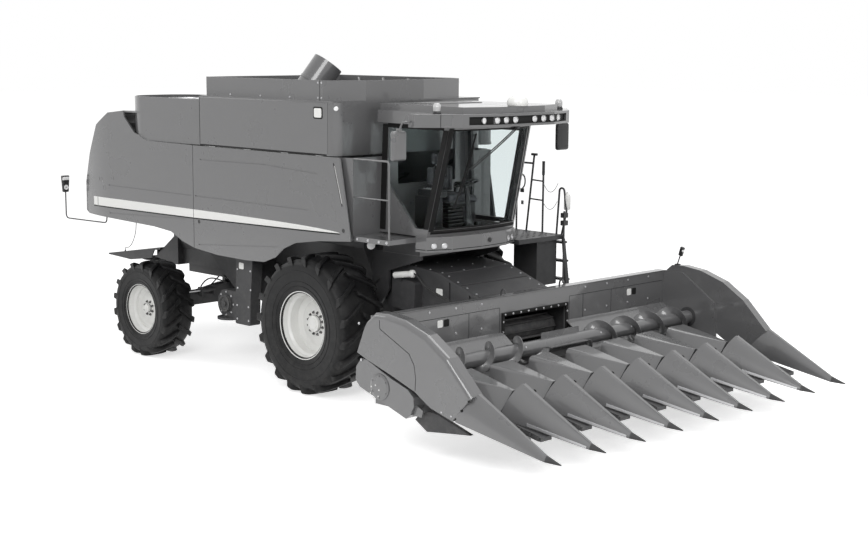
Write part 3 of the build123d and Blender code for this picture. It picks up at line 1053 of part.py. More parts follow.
# ---- feeder lift cylinders --------------------------------------------------
LIFT_GLAND_X = 1330           # rod end of the barrel
for name, y in (("left", LIFT_Y), ("right", -LIFT_Y)):
    z = LIFT_BASE_Z
    barrel = rod((LIFT_BASE_X + 20, y, z), (LIFT_GLAND_X, y, z), CYLINDER_R)
    barrel = join(barrel, rod((LIFT_BASE_X, y - EYE_HALF, z), (LIFT_BASE_X, y + EYE_HALF, z), 45))
    barrel -= rod((LIFT_BASE_X + 260, y, z), (LIFT_GLAND_X + 10, y, z), ROD_R + PIN_GAP)
    barrel -= box(LIFT_BASE_X - 60, LIFT_BASE_X + 80, y + EYE_HALF, y + 100, z - 80, z + 80)
    barrel -= box(LIFT_BASE_X - 60, LIFT_BASE_X + 80, y - 100, y - EYE_HALF, z - 80, z + 80)
    barrel -= rod((LIFT_BASE_X, y - 60, z), (LIFT_BASE_X, y + 60, z), LIFT_PIN_R + PIN_GAP)
    save(f"lift_barrel_{name}", barrel)
    piston = rod((LIFT_BASE_X + 400, y, z), (LIFT_EYE_X - 20, y, z), ROD_R)
    eye = rod((LIFT_EYE_X, y - EYE_HALF, z), (LIFT_EYE_X, y + EYE_HALF, z), 45)
    bore = rod((LIFT_EYE_X, y - 60, z), (LIFT_EYE_X, y + 60, z), LIFT_PIN_R + PIN_GAP)
    save(f"lift_rod_{name}", join(piston, eye) - bore)
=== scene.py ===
import contextlib
import math

import bmesh
import bpy
from mathutils import Matrix, Vector


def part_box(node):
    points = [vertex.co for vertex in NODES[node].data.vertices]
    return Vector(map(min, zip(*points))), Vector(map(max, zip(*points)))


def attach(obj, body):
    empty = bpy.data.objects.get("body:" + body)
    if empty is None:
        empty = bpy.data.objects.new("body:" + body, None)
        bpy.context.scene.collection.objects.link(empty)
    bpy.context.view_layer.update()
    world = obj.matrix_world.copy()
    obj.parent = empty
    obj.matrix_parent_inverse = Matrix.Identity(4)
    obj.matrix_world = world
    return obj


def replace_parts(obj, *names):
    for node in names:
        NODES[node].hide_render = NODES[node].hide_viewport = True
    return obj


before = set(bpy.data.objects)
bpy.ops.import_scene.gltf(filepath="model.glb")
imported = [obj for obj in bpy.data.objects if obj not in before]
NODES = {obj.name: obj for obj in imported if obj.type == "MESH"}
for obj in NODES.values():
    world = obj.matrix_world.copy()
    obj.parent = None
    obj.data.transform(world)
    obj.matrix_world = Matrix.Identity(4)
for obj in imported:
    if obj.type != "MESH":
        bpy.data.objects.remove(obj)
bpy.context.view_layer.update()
FRONT_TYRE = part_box("front_tyre_left")
AXLE_X = (FRONT_TYRE[0][0] + FRONT_TYRE[1][0]) / 2   # places below are measured from the front axle
BODY_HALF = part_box("rear_shields")[1][1]             # half width over the side shields

bl_info = {
    "name": "Combine Harvester Dressing",
    "version": (1, 0, 0),
    "blender": (4, 5, 0),
    "location": "View3D > Sidebar > Harvester",
    "description": "Trim, fittings and finishes for the harvester's solid frame",
    "category": "Object",
}


# ---- settings ------------------------------------------------------------
def colour(label, default, what):
    """Setting that holds a colour"""
    return bpy.props.FloatVectorProperty(
        name=label, description=what, subtype="COLOR", size=3, min=0.0, max=1.0, default=default)


def length(label, default, what):
    """Setting that holds a length in metres"""
    return bpy.props.FloatProperty(name=label, description=what, unit="LENGTH", default=default)


class HarvesterPaint(bpy.types.PropertyGroup):
    enamel: colour("Enamel", (0.116, 0.116, 0.118), "Gloss enamel on the body panels and the header")
    chassis: colour("Chassis", (0.045, 0.045, 0.047), "Satin paint on the frame, axles and crop housings")
    rim: colour("Wheel paint", (0.78, 0.78, 0.76), "Pale enamel on the wheel discs")
    rubber: colour("Rubber", (0.007, 0.007, 0.0075), "Tyre rubber")
    plastic: colour("Plastic", (0.018, 0.018, 0.019), "Moulded black plastic")
    stripe: colour("Stripe", (0.82, 0.82, 0.80), "Pale decal stripe along the side shields")
    fabric: colour("Seat cloth", (0.06, 0.06, 0.065), "Woven cover of the seat")
    steel: colour("Steel", (0.55, 0.55, 0.56), "Bare and plated steel")
    lens: colour("Lens", (0.80, 0.80, 0.80), "Clear lamp lenses and pale domes")
    glass: colour("Glass", (0.82, 0.86, 0.86), "Tinted cab glass")


class HarvesterTrim(bpy.types.PropertyGroup):
    stripe_height: length("Stripe height", 0.150, "Height of the side stripe at its rear end")
    film: length("Film", 0.0015, "Thickness of stripes and small plates")
    bolt: length("Bolt", 0.011, "Radius of the panel bolts")


class HarvesterStage(bpy.types.PropertyGroup):
    floor: colour("Floor", (0.90, 0.90, 0.90), "Studio floor and backdrop")
    lens_mm: bpy.props.FloatProperty(
        name="Lens", description="Focal length on a 36 mm wide sensor", unit="CAMERA", default=63.94)
    eye: bpy.props.FloatVectorProperty(
        name="Camera place", description="Where the camera stands", unit="LENGTH", size=3,
        default=(17.62, -16.156, 5.187))
    heading: bpy.props.FloatProperty(
        name="Heading", description="Direction of view, anticlockwise from forward", subtype="ANGLE",
        default=math.radians(135.29))
    pitch: bpy.props.FloatProperty(
        name="Pitch", description="Angle of view below level", subtype="ANGLE", default=math.radians(8.669))
    roll: bpy.props.FloatProperty(
        name="Roll", description="Lean of the camera", subtype="ANGLE", default=math.radians(0.317))


def paint():
    """Colours of the finishes"""
    return bpy.context.scene.harvester_paint


def trim():
    """Sizes of the trim"""
    return bpy.context.scene.harvester_trim


# ---- shader tools --------------------------------------------------------
def rgba(tint):
    """Opaque colour for a socket"""
    return (*tint, 1.0)


def new_group(name, inputs, outputs):
    """Empty node group with its sockets"""
    tree = bpy.data.node_groups.new(name, "ShaderNodeTree")
    for label, kind, default in inputs:
        socket = tree.interface.new_socket(label, in_out="INPUT", socket_type="NodeSocket" + kind)
        if default is not None:
            socket.default_value = default
    for label, kind in outputs:
        tree.interface.new_socket(label, in_out="OUTPUT", socket_type="NodeSocket" + kind)
    return tree, tree.nodes.new("NodeGroupInput"), tree.nodes.new("NodeGroupOutput")


def add(tree, kind, **settings):
    """Add a node, with its properties or its inputs set"""
    node = tree.nodes.new("ShaderNode" + kind)
    for key, value in settings.items():
        if hasattr(node, key):
            setattr(node, key, value)
        else:
            node.inputs[key.replace("_", " ")].default_value = value
    return node


def combined(tree, operation, first, second):
    """Output of a maths node on two values"""
    node = add(tree, "Math", operation=operation)
    tree.links.new(first, node.inputs[0])
    tree.links.new(second, node.inputs[1])
    return node.outputs[0]


def topped_up(tree, value, share, base):
    """A share of one value added to another"""
    node = add(tree, "Math", operation="MULTIPLY_ADD")
    node.inputs[1].default_value = share
    tree.links.new(value, node.inputs[0])
    tree.links.new(base, node.inputs[2])
    return node.outputs[0]


def stretched(tree, value, **limits):
    """A value stretched from one range to another"""
    node = add(tree, "MapRange", **limits)
    tree.links.new(value, node.inputs["Value"])
    return node.outputs["Result"]


def surface_group():
    """Fine orange peel, broad cloudiness and dust that gathers low on the machine"""
    tree, given, out = new_group(
        "panel_finish",
        [("Colour", "Color", (0.5, 0.5, 0.5, 1)), ("Roughness", "Float", 0.3), ("Cloud", "Float", 0.06),
         ("Dust", "Float", 0.1), ("Grain Scale", "Float", 300.0)],
        [("Colour", "Color"), ("Roughness", "Float"), ("Height", "Float")])
    link = tree.links.new
    place = add(tree, "TexCoord").outputs["Object"]
    cloud = add(tree, "TexNoise", Scale=1.7, Detail=5.0, Roughness=0.55)
    grain = add(tree, "TexNoise", Detail=2.0)
    link(place, cloud.inputs["Vector"])
    link(place, grain.inputs["Vector"])
    link(given.outputs["Grain Scale"], grain.inputs["Scale"])
    shade = stretched(tree, cloud.outputs["Fac"], From_Min=0.3, From_Max=0.7)
    depth = combined(tree, "MULTIPLY", shade, given.outputs["Cloud"])
    darker = add(tree, "Mix", data_type="RGBA", blend_type="MULTIPLY")
    darker.inputs["B"].default_value = (0.35, 0.35, 0.34, 1)
    link(depth, darker.inputs["Factor"])
    link(given.outputs["Colour"], darker.inputs["A"])
    # dust, in patches, with more of it low down
    split = add(tree, "SeparateXYZ")
    link(place, split.inputs[0])
    low = stretched(tree, split.outputs["Z"], From_Min=2.2, From_Max=0.1)
    speckle = add(tree, "TexNoise", Scale=9.0, Detail=6.0, Roughness=0.7)
    link(place, speckle.inputs["Vector"])
    patch = stretched(tree, speckle.outputs["Fac"], From_Min=0.42, From_Max=0.72)
    amount = combined(tree, "MULTIPLY", combined(tree, "MULTIPLY", low, patch), given.outputs["Dust"])
    dust = add(tree, "Mix", data_type="RGBA")
    dust.inputs["B"].default_value = (0.33, 0.32, 0.30, 1)
    link(amount, dust.inputs["Factor"])
    link(darker.outputs["Result"], dust.inputs["A"])
    link(dust.outputs["Result"], out.inputs["Colour"])
    rough = topped_up(tree, shade, 0.12, given.outputs["Roughness"])
    link(topped_up(tree, amount, 0.5, rough), out.inputs["Roughness"])
    link(grain.outputs["Fac"], out.inputs["Height"])
    return tree


def finish_material(name, base, roughness, cloud=0.06, dust=0.1, grain=300.0, bump=0.05, depth=0.0005,
                    metallic=0.0, coat=0.0, shine=0.5):
    """A painted, moulded or metal surface on the shared finish group"""
    mat = bpy.data.materials.new(name)
    mat.use_nodes = True
    tree = mat.node_tree
    shader = tree.nodes["Principled BSDF"]
    group = add(tree, "Group", node_tree=bpy.data.node_groups.get("panel_finish") or surface_group())
    for label, value in (("Colour", rgba(base)), ("Roughness", roughness), ("Cloud", cloud),
                         ("Dust", dust), ("Grain Scale", grain)):
        group.inputs[label].default_value = value
    bump_node = add(tree, "Bump", Strength=bump, Distance=depth)
    tree.links.new(group.outputs["Height"], bump_node.inputs["Height"])
    tree.links.new(group.outputs["Colour"], shader.inputs["Base Color"])
    tree.links.new(group.outputs["Roughness"], shader.inputs["Roughness"])
    tree.links.new(bump_node.outputs["Normal"], shader.inputs["Normal"])
    shader.inputs["Metallic"].default_value = metallic
    shader.inputs["Coat Weight"].default_value = coat
    shader.inputs["Coat Roughness"].default_value = 0.06
    shader.inputs["Specular IOR Level"].default_value = shine
    return mat


def glass_material(name, tint):
    """Tinted glazing, with a faint film of dust in its roughness"""
    mat = bpy.data.materials.new(name)
    mat.use_nodes = True
    tree = mat.node_tree
    shader = tree.nodes["Principled BSDF"]
    film = add(tree, "TexNoise", Scale=3.0, Detail=4.0)
    tree.links.new(add(tree, "TexCoord").outputs["Object"], film.inputs["Vector"])
    spread = stretched(tree, film.outputs["Fac"], From_Min=0.35, From_Max=0.75, To_Min=0.02, To_Max=0.07)
    tree.links.new(spread, shader.inputs["Roughness"])
    shader.inputs["Base Color"].default_value = rgba(tint)
    shader.inputs["Transmission Weight"].default_value = 1.0
    shader.inputs["IOR"].default_value = 1.05
    return mat


MATERIALS = {}


def make_materials():
    """Fill MATERIALS with one material for each finish"""
    p = paint()
    MATERIALS.update(
        enamel=finish_material("gloss_enamel", p.enamel, 0.24, cloud=0.015, dust=0.0, bump=0.01, coat=0.8),
        pale=finish_material("pale_decal", p.stripe, 0.35, cloud=0.01, dust=0.02, bump=0.02),
        chassis=finish_material("satin_chassis_paint", p.chassis, 0.38, cloud=0.10, dust=0.16, shine=0.35),
        rim=finish_material("wheel_enamel", p.rim, 0.34, cloud=0.03, dust=0.10, coat=0.3),
        rubber=finish_material("tyre_rubber", p.rubber, 0.38, cloud=0.2, dust=0.07, grain=90.0, bump=0.35,
                               depth=0.002, shine=0.22),
        plastic=finish_material("black_plastic", p.plastic, 0.38, cloud=0.1, dust=0.05, grain=500.0, bump=0.2),
        seal=finish_material("rubber_seal", (0.006, 0.006, 0.006), 0.5, cloud=0.1, dust=0.05, grain=400.0,
                             shine=0.2),
        hose=finish_material("braided_hose", (0.010, 0.010, 0.010), 0.5, cloud=0.1, dust=0.2, grain=900.0,
                             bump=0.6),
        steel=finish_material("bright_steel", p.steel, 0.28, cloud=0.1, dust=0.1, metallic=1.0, grain=180.0),
        mirror=finish_material("mirror_silver", (0.85, 0.85, 0.86), 0.03, cloud=0.0, dust=0.0, metallic=1.0,
                               bump=0.0),
        lens=finish_material("lamp_lens", p.lens, 0.12, cloud=0.02, dust=0.0, coat=1.0),
        amber=finish_material("beacon_lens", (0.45, 0.45, 0.45), 0.1, cloud=0.05, dust=0.0, coat=1.0),
        fabric=finish_material("seat_cloth", p.fabric, 0.85, cloud=0.1, dust=0.05, grain=700.0, bump=0.6,
                               depth=0.001),
        iron=finish_material("cast_iron", (0.05, 0.05, 0.052), 0.55, cloud=0.3, dust=0.4, grain=120.0,
                             bump=0.5),
        glass=glass_material("cab_glazing", p.glass),
    )


UP, FORWARD, ORIGIN = Vector((0, 0, 1)), Vector((1, 0, 0)), Vector()
SIDES = ((1, "left"), (-1, "right"))


def at(x, y, z):
    """A place measured forward of the front axle, to the left and up from the floor"""
    return Vector((AXLE_X + x, y, z))


def path(places):
    """The places of a line, measured from the front axle"""
    return [at(*place) for place in places]


def only(obj):
    """Select this object alone"""
    bpy.ops.object.select_all(action="DESELECT")
    obj.select_set(True)
    bpy.context.view_layer.objects.active = obj
    return obj


def settle(obj):
    """Put the object at the origin, unturned and unscaled, with its place in its mesh"""
    only(obj)
    bpy.ops.object.transform_apply(location=True, rotation=True, scale=True)
    return obj


@contextlib.contextmanager
def editing(obj):
    """Edit mode on one object, with nothing selected"""
    only(obj)
    bpy.ops.object.mode_set(mode="EDIT")
    bpy.ops.mesh.select_mode(type="FACE")
    bpy.ops.mesh.select_all(action="DESELECT")
    yield
    bpy.ops.object.mode_set(mode="OBJECT")


def pick(obj, kind, test):
    """Select the faces, edges or vertices that pass a test of their place or normal"""
    bpy.ops.mesh.select_mode(type={"faces": "FACE", "edges": "EDGE", "verts": "VERT"}[kind])
    bpy.ops.mesh.select_all(action="DESELECT")
    shell = bmesh.from_edit_mesh(obj.data)
    for item in getattr(shell, kind):
        if test(item):
            item.select_set(True)
    shell.select_flush(True)
    bmesh.update_edit_mesh(obj.data)


def outward():
    """Merge doubles and turn every face outwards, in edit mode"""
    bpy.ops.mesh.select_all(action="SELECT")
    bpy.ops.mesh.remove_doubles(threshold=0.00005)
    bpy.ops.mesh.normals_make_consistent(inside=False)


def with_modifier(obj, kind, **settings):
    """Add a modifier and apply it"""
    only(obj)
    modifier = obj.modifiers.new(kind.lower(), kind)
    for key, value in settings.items():
        setattr(modifier, key, value)
    bpy.ops.object.modifier_apply(modifier=modifier.name)
    return obj


def block(low, high, edge=0.004, rounds=2):
    """Block between two corners, with its edges rounded"""
    low, high = Vector(low), Vector(high)
    bpy.ops.object.select_all(action="DESELECT")
    bpy.ops.mesh.primitive_cube_add(size=1, location=(low + high) / 2)
    obj = bpy.context.object
    obj.scale = [abs(v) for v in high - low]
    settle(obj)
    with editing(obj):
        bpy.ops.mesh.select_all(action="SELECT")
        bpy.ops.mesh.bevel(offset=edge, segments=rounds, affect="EDGES")
    return obj


def slab(x0, x1, y0, y1, z0, z1, edge=0.004, rounds=2):
    """Block between limits measured from the front axle"""
    return block(at(x0, y0, z0), at(x1, y1, z1), edge, rounds)


def turned(place, axis, rings, sides=32):
    """Round piece: a disc pushed along an axis and drawn in or out, ring by ring (radius, height)"""
    bpy.ops.object.select_all(action="DESELECT")
    radius, height = rings[0]
    bpy.ops.mesh.primitive_circle_add(vertices=sides, radius=radius, fill_type="NGON", location=(0, 0, height))
    obj = settle(bpy.context.object)
    with editing(obj):
        bpy.ops.mesh.select_all(action="SELECT")
        for next_radius, next_height in rings[1:]:
            bpy.ops.mesh.extrude_region_move(TRANSFORM_OT_translate={"value": (0, 0, next_height - height)})
            factor = next_radius / radius
            bpy.ops.transform.resize(value=(factor, factor, 1))
            radius, height = next_radius, next_height
        outward()
    return aimed(obj, place, axis)


def aimed(obj, place, axis):
    """Point an object's Z along an axis at a place"""
    obj.matrix_world = (Matrix.Translation(Vector(place))
                        @ Vector(axis).to_track_quat("Z", "Y").to_matrix().to_4x4())
    return settle(obj)


def plate(outline, push, edge=0.0, rounds=1):
    """Flat plate: corners in order, pushed along a vector, with its edges rounded"""
    bpy.ops.object.select_all(action="DESELECT")
    bpy.ops.mesh.primitive_circle_add(vertices=len(outline), radius=1, fill_type="NGON")
    obj = bpy.context.object
    for vertex, corner in zip(obj.data.vertices, outline):
        vertex.co = corner
    with editing(obj):
        bpy.ops.mesh.select_all(action="SELECT")
        bpy.ops.mesh.extrude_region_move(TRANSFORM_OT_translate={"value": tuple(push)})
        if edge:
            bpy.ops.mesh.select_all(action="SELECT")
            bpy.ops.mesh.bevel(offset=edge, segments=rounds, affect="EDGES")
        outward()
    return obj


def line_of(points, radius, around=3, order=3, along=6, closed=False):
    """Curve with a round section along the points; order 2 keeps straight runs"""
    bpy.ops.object.select_all(action="DESELECT")
    bpy.ops.curve.primitive_nurbs_path_add(radius=1, location=(0, 0, 0))
    obj = bpy.context.object
    line = obj.data
    line.splines.clear()
    spline = line.splines.new("NURBS")
    spline.points.add(len(points) - 1)
    for point, place in zip(spline.points, points):
        point.co = (*place, 1)
    spline.use_cyclic_u = closed
    spline.use_endpoint_u = not closed
    spline.order_u = order
    line.resolution_u = along
    line.bevel_depth = radius
    line.bevel_resolution = around
    line.use_fill_caps = not closed
    return obj


def tube(points, radius, around=3, order=3, closed=False):
    """Round bar or hose along a smooth line, as a mesh"""
    line_of(points, radius, around, order, closed=closed)
    bpy.ops.object.convert(target="MESH")
    return settle(bpy.context.object)


def bar(points, radius):
    """Round bar in straight runs"""
    return tube(points, radius, order=2)


def ring_bar(radius, thick, around=48, section=6):
    """Round bar closed in a ring about Z, at the origin"""
    bpy.ops.object.select_all(action="DESELECT")
    bpy.ops.mesh.primitive_torus_add(major_radius=radius, minor_radius=thick, major_segments=around,
                                     minor_segments=section)
    return settle(bpy.context.object)


def band_of(steps):
    """Strip of faces along X, one per step, whose edges are then set in their place"""
    bpy.ops.object.select_all(action="DESELECT")
    bpy.ops.mesh.primitive_plane_add(size=1)
    band = bpy.context.object
    with editing(band):
        pick(band, "edges", lambda edge: all(v.co.x > 0.4 for v in edge.verts))
        for _ in range(steps - 1):
            bpy.ops.mesh.extrude_region_move(TRANSFORM_OT_translate={"value": (1, 0, 0)})
    return band


def joined(parts):
    """Several meshes as one"""
    only(parts[0])
    for part in parts:
        part.select_set(True)
    if len(parts) > 1:
        bpy.ops.object.join()
    return settle(parts[0])


def copies(pattern, places):
    """Copies of a pattern that stands on Z at the origin, each with its own mesh, at (place, axis)"""
    made = []
    for place, axis in places:
        other = pattern.copy()
        other.data = pattern.data.copy()
        bpy.context.collection.objects.link(other)
        made.append(aimed(other, place, axis))
    bpy.data.objects.remove(pattern)
    return joined(made)


def fitted(piece, name, finish, body="chassis", smooth=32):
    """Join and name a piece, give it its finish and smooth edges, and mount it on its body"""
    obj = joined(piece) if isinstance(piece, list) else piece
    obj.name = obj.data.name = name
    obj.data.materials.append(MATERIALS[finish])
    only(obj)
    bpy.ops.object.shade_smooth_by_angle(angle=math.radians(smooth))
    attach(obj, body)
    return obj


def hex_bolt(radius, height=None):
    """Six-sided head on a round washer, standing on Z at the origin"""
    height = height or radius * 0.8
    washer = turned(ORIGIN, UP, [(radius * 1.5, -0.001), (radius * 1.5, radius * 0.16),
                                 (radius * 1.36, radius * 0.26)], 12)
    head = turned(ORIGIN, UP, [(radius, 0), (radius, height), (radius * 0.82, height * 1.15)], 6)
    return joined([washer, head])


def bolted(radius, places, name, finish="steel", body="chassis", height=None):
    """Bolt heads at (place, axis), as one piece"""
    return fitted(copies(hex_bolt(radius, height), places), name, finish, body)


def row_of(start, end, count):
    """Evenly spaced places from start to end"""
    return [start.lerp(end, i / (count - 1)) for i in range(count)]


# which finish each solid of the frame gets
NODE_FINISH = {
    "enamel": ("side_shield_left side_shield_right rear_shields rear_hood intake_hood grain_tank "
               "tank_extension front_corner_panels cab_fascia header_frame auger_trough row_hoods snouts "
               "end_shields drive_covers cross_auger loading_auger_tube unloading_auger cab_roof "
               "walkway_right cab_frame"),
    "chassis": ("main_frame separator_body front_axle rear_axle knuckle_left knuckle_right elevator_right "
                "spreader_deck feeder_house row_units platform_left ladder rear_lamp_brackets header_skids "
                "cab_door lift_barrel_left lift_barrel_right"),
    "rim": "front_rim_left front_rim_right rear_rim_left rear_rim_right",
    "rubber": "front_tyre_left front_tyre_right rear_tyre_left rear_tyre_right",
    "plastic": "snout_tips cab_controls mirrors",
    "steel": "lift_rod_left lift_rod_right",
    "lens": "roof_lamps fascia_lamps header_lamp",
    "fabric": "cab_seat",
    "iron": "engine_block",
    "glass": "cab_glass cab_door_glass",
}


class HARVESTER_OT_finishes(bpy.types.Operator):
    """Make the paints, rubber, glass and cloth and put them on the solid frame"""
    bl_idname = "harvester.finishes"
    bl_label = "Finishes"

    def execute(self, context):
        make_materials()
        for finish, names in NODE_FINISH.items():
            for name in names.split():
                mesh = NODES[name].data
                mesh.materials.clear()
                mesh.materials.append(MATERIALS[finish])
        missing = set(NODES) - set(" ".join(NODE_FINISH.values()).split())
        if missing:
            raise RuntimeError(f"no finish for {sorted(missing)}")
        return {"FINISHED"}


# ---- tyres -----------------------------------------------------------------
# tyre profile: across from its middle as a share of the half width, up as a share of the wall over the rim
TYRE_PROFILE = [
    (0.00, 1.000), (0.30, 0.999), (0.62, 0.993), (0.84, 0.965), (0.95, 0.900), (0.985, 0.800), (0.975, 0.640),
    (0.965, 0.460), (0.955, 0.280), (0.915, 0.120), (0.885, 0.060), (0.870, 0.020), (0.845, -0.020),
    (0.800, -0.022), (0.790, 0.060), (0.840, 0.300), (0.850, 0.620), (0.780, 0.820), (0.500, 0.880),
    (0.00, 0.890)]
LUG_RISE = 0.052
# one lug: share of the half width, turn round the tyre in lug pitches, half thickness in metres, rise share
LUG_LINE = [(-0.06, 0.02, 0.040, 0.93), (0.12, 0.22, 0.043, 1.00), (0.38, 0.66, 0.041, 1.00),
            (0.64, 1.08, 0.042, 0.99), (0.84, 1.36, 0.047, 0.93), (0.965, 1.52, 0.052, 0.72),
            (0.985, 1.60, 0.054, 0.40)]


SIDEWALL_RINGS = [(0.972, 0.66), (0.958, 0.34), (0.935, 0.19)]
LUGS = {"front": 19, "rear": 17}


def smooth_tyre(axle, hand):
    """Round casing turned from its profile, with cranked, bevelled lugs copied round it"""
    node, lugs = f"{axle}_tyre_{hand}", LUGS[axle]
    low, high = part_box(node)
    rim_low, rim_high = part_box(f"{axle}_rim_{hand}")
    mid = Vector([(a + b) / 2 for a, b in zip(low, high)])
    tip_r = (high[0] - low[0]) / 2
    half = (high[1] - low[1]) / 2
    tread_r = tip_r - LUG_RISE
    seat_r = (rim_high[0] - rim_low[0]) / 2 - 0.02
    wall = tread_r - seat_r
    line = [(share * half, seat_r + up * wall) for share, up in TYRE_PROFILE]
    line += [(-across, radius) for across, radius in reversed(line[1:-1])]
    bpy.ops.object.select_all(action="DESELECT")
    bpy.ops.mesh.primitive_circle_add(vertices=len(line), radius=1)
    casing = bpy.context.object
    for vertex, (across, radius) in zip(casing.data.vertices, line):
        vertex.co = (radius, across, 0)
    with editing(casing):
        bpy.ops.mesh.select_all(action="SELECT")
        bpy.ops.mesh.spin(steps=96, angle=2 * math.pi, center=(0, 0, 0), axis=(0, 1, 0))
        outward()
    # one lug, from a block pushed out length by length and set along its cranked line
    bpy.ops.mesh.primitive_cube_add(size=1)
    lug = bpy.context.object
    with editing(lug):
        pick(lug, "faces", lambda face: face.normal.x > 0.9)
        bpy.ops.transform.translate(value=(-0.5, 0, 0))
        for _ in range(len(LUG_LINE) - 2):
            bpy.ops.mesh.extrude_region_move(TRANSFORM_OT_translate={"value": (0.5, 0, 0)})
    stations = sorted({round(v.co.x, 3) for v in lug.data.vertices})
    pitch = 2 * math.pi / lugs
    for vertex in lug.data.vertices:
        share, turn, thick, rise = LUG_LINE[stations.index(round(vertex.co.x, 3))]
        top = vertex.co.z > 0
        spread = thick * (0.80 if top else 1.35) * (1 if vertex.co.y > 0 else -1)
        across = share * half + (spread * 0.35 if not top else 0)
        radius = tread_r + LUG_RISE * rise if top else tread_r - 0.03 - (0.06 if share > 0.9 else 0)
        angle = turn * pitch / 2 + spread / tread_r
        vertex.co = (radius * math.sin(angle), min(across, half), radius * math.cos(angle))
    with editing(lug):
        outward()
        pick(lug, "edges", lambda edge: all(v.co.xz.length > tread_r - 0.01 for v in edge.verts))
        bpy.ops.mesh.bevel(offset=0.007, segments=2, affect="EDGES")
    parts = [casing]
    for way, first in ((1, 0.0), (-1, 0.5)):
        for i in range(lugs):
            other = lug.copy()
            other.data = lug.data.copy()
            bpy.context.collection.objects.link(other)
            other.matrix_world = (Matrix.Rotation(pitch * (i + first), 4, "Y")
                                  @ Matrix.Diagonal((1, way, 1, 1)))
            settle(other)
            if way < 0:
                with editing(other):
                    outward()
            parts.append(other)
    bpy.data.objects.remove(lug)
    for share, up in SIDEWALL_RINGS:
        for way in (1, -1):
            ring = ring_bar(seat_r + up * wall, 0.006, 96)
            parts.append(aimed(ring, (0, way * share * half, 0), (0, 1, 0)))
    tyre = joined(parts)
    tyre.location = mid
    fitted(settle(tyre), f"{node}_tread", "rubber", f"{axle}_wheel_{hand}", smooth=40)
    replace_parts(tyre, node)


class HARVESTER_OT_tyres(bpy.types.Operator):
    """Turn the four tyres from their profile and set the lugs round them"""
    bl_idname = "harvester.tyres"
    bl_label = "Tyres"

    def execute(self, context):
        for axle in LUGS:
            for _, hand in SIDES:
                smooth_tyre(axle, hand)
        return {"FINISHED"}


# ---- side shields, tank and hood ---------------------------------------------
TAIL_BEND_X, TAIL_BEND_R = -5.5, 4.165       # behind the bend the shields curve inward
# stripe along the side, parted at the shields' joint: place along the machine, lower edge, upper edge
STRIPE_REAR = [(-6.02, 2.330, 2.480), (-5.75, 2.333, 2.482), (-5.50, 2.335, 2.483), (-5.2, 2.337, 2.484),
               (-4.0, 2.346, 2.486), (-3.050, 2.355, 2.487)]
STRIPE_FRONT = [(-3.038, 2.355, 2.487), (-2.0, 2.374, 2.487), (-1.0, 2.392, 2.480), (-0.4, 2.403, 2.472),
                (0.0, 2.412, 2.461), (0.3, 2.419, 2.448), (0.45, 2.423, 2.438), (0.52, 2.425, 2.430)]
STRIPE_HEIGHT = 0.150                        # height that the two lists above are drawn for
# height of the dark band painted under the stripe as shade
SHADE_STRIP = 0.020


def shield_y(x):
    """Half width over the shields at a place along the machine"""
    run = max(0.0, TAIL_BEND_X - x)
    return BODY_HALF - TAIL_BEND_R + math.sqrt(TAIL_BEND_R ** 2 - run ** 2)


def ribbon(stations, side, thickness):
    """Thin band on a side shield: (along, lower edge, upper edge) at each station"""
    band = band_of(len(stations) - 1)
    for vertex in band.data.vertices:
        x, low, high = stations[round(vertex.co.x + 0.5)]
        vertex.co = at(x, side * (shield_y(x) + 0.0006), high if vertex.co.y > 0 else low)
    with editing(band):
        bpy.ops.mesh.select_all(action="SELECT")
        bpy.ops.mesh.extrude_region_move(TRANSFORM_OT_translate={"value": (0, side * thickness, 0)})
        outward()
    return band


def side_stripes():
    """Pale stripe with a dark band painted under it as shade, split where the shields part"""
    film, scale = trim().film, trim().stripe_height / STRIPE_HEIGHT
    for side, hand in SIDES:
        for where, body, line in (("rear", "chassis", STRIPE_REAR),
                                  ("front", f"side_shield_{hand}", STRIPE_FRONT)):
            stripe = [(x, low, low + (high - low) * scale) for x, low, high in line]
            fitted(ribbon(stripe, side, film), f"side_stripe_{where}_{hand}", "pale", body)
            shade = [(x, low - SHADE_STRIP, low) for x, low, _ in line]
            fitted(ribbon(shade, side, film), f"side_stripe_edge_{where}_{hand}", "seal", body)


def label(middle, width, height, out, thickness=None):
    """Blank upright plate with rounded corners that faces outwards"""
    out = Vector(out)
    across, corner = UP.cross(out), min(width, height) * 0.18
    outline = []
    for i, j, start in ((1, 1, 0), (-1, 1, 90), (-1, -1, 180), (1, -1, 270)):
        for step in (0, 30, 60, 90):
            angle = math.radians(start + step)
            outline.append(middle + across * ((width / 2 - corner) * i + corner * math.cos(angle))
                           + UP * ((height / 2 - corner) * j + corner * math.sin(angle)))
    return plate(outline, out * (thickness or trim().film))


# joint lines of the tank's sides: limits along the machine, depth and rise of the line, limits up
TANK_SEAMS = [(0.262, 0.268, 0.002, 0.0012, 3.55, 4.295, 0.0008),
              (-2.845, -2.832, 0.03, 0.001, 3.55, 4.295, 0.0008),
              (-2.84, 0.24, 0.01, 0.002, 3.531, 3.552, 0.001)]
LATCH = [(0.030, -0.002), (0.030, 0.002), (0.024, 0.003), (0.022, 0.0005), (0.004, 0.0005)]
TAIL_LINK = [(-5.72, 2.83), (-5.67, 2.72), (-5.63, 2.62)]
CORNER_LIGHT = [(0.034, -0.03), (0.034, 0.014), (0.028, 0.022), (0.006, 0.026)]


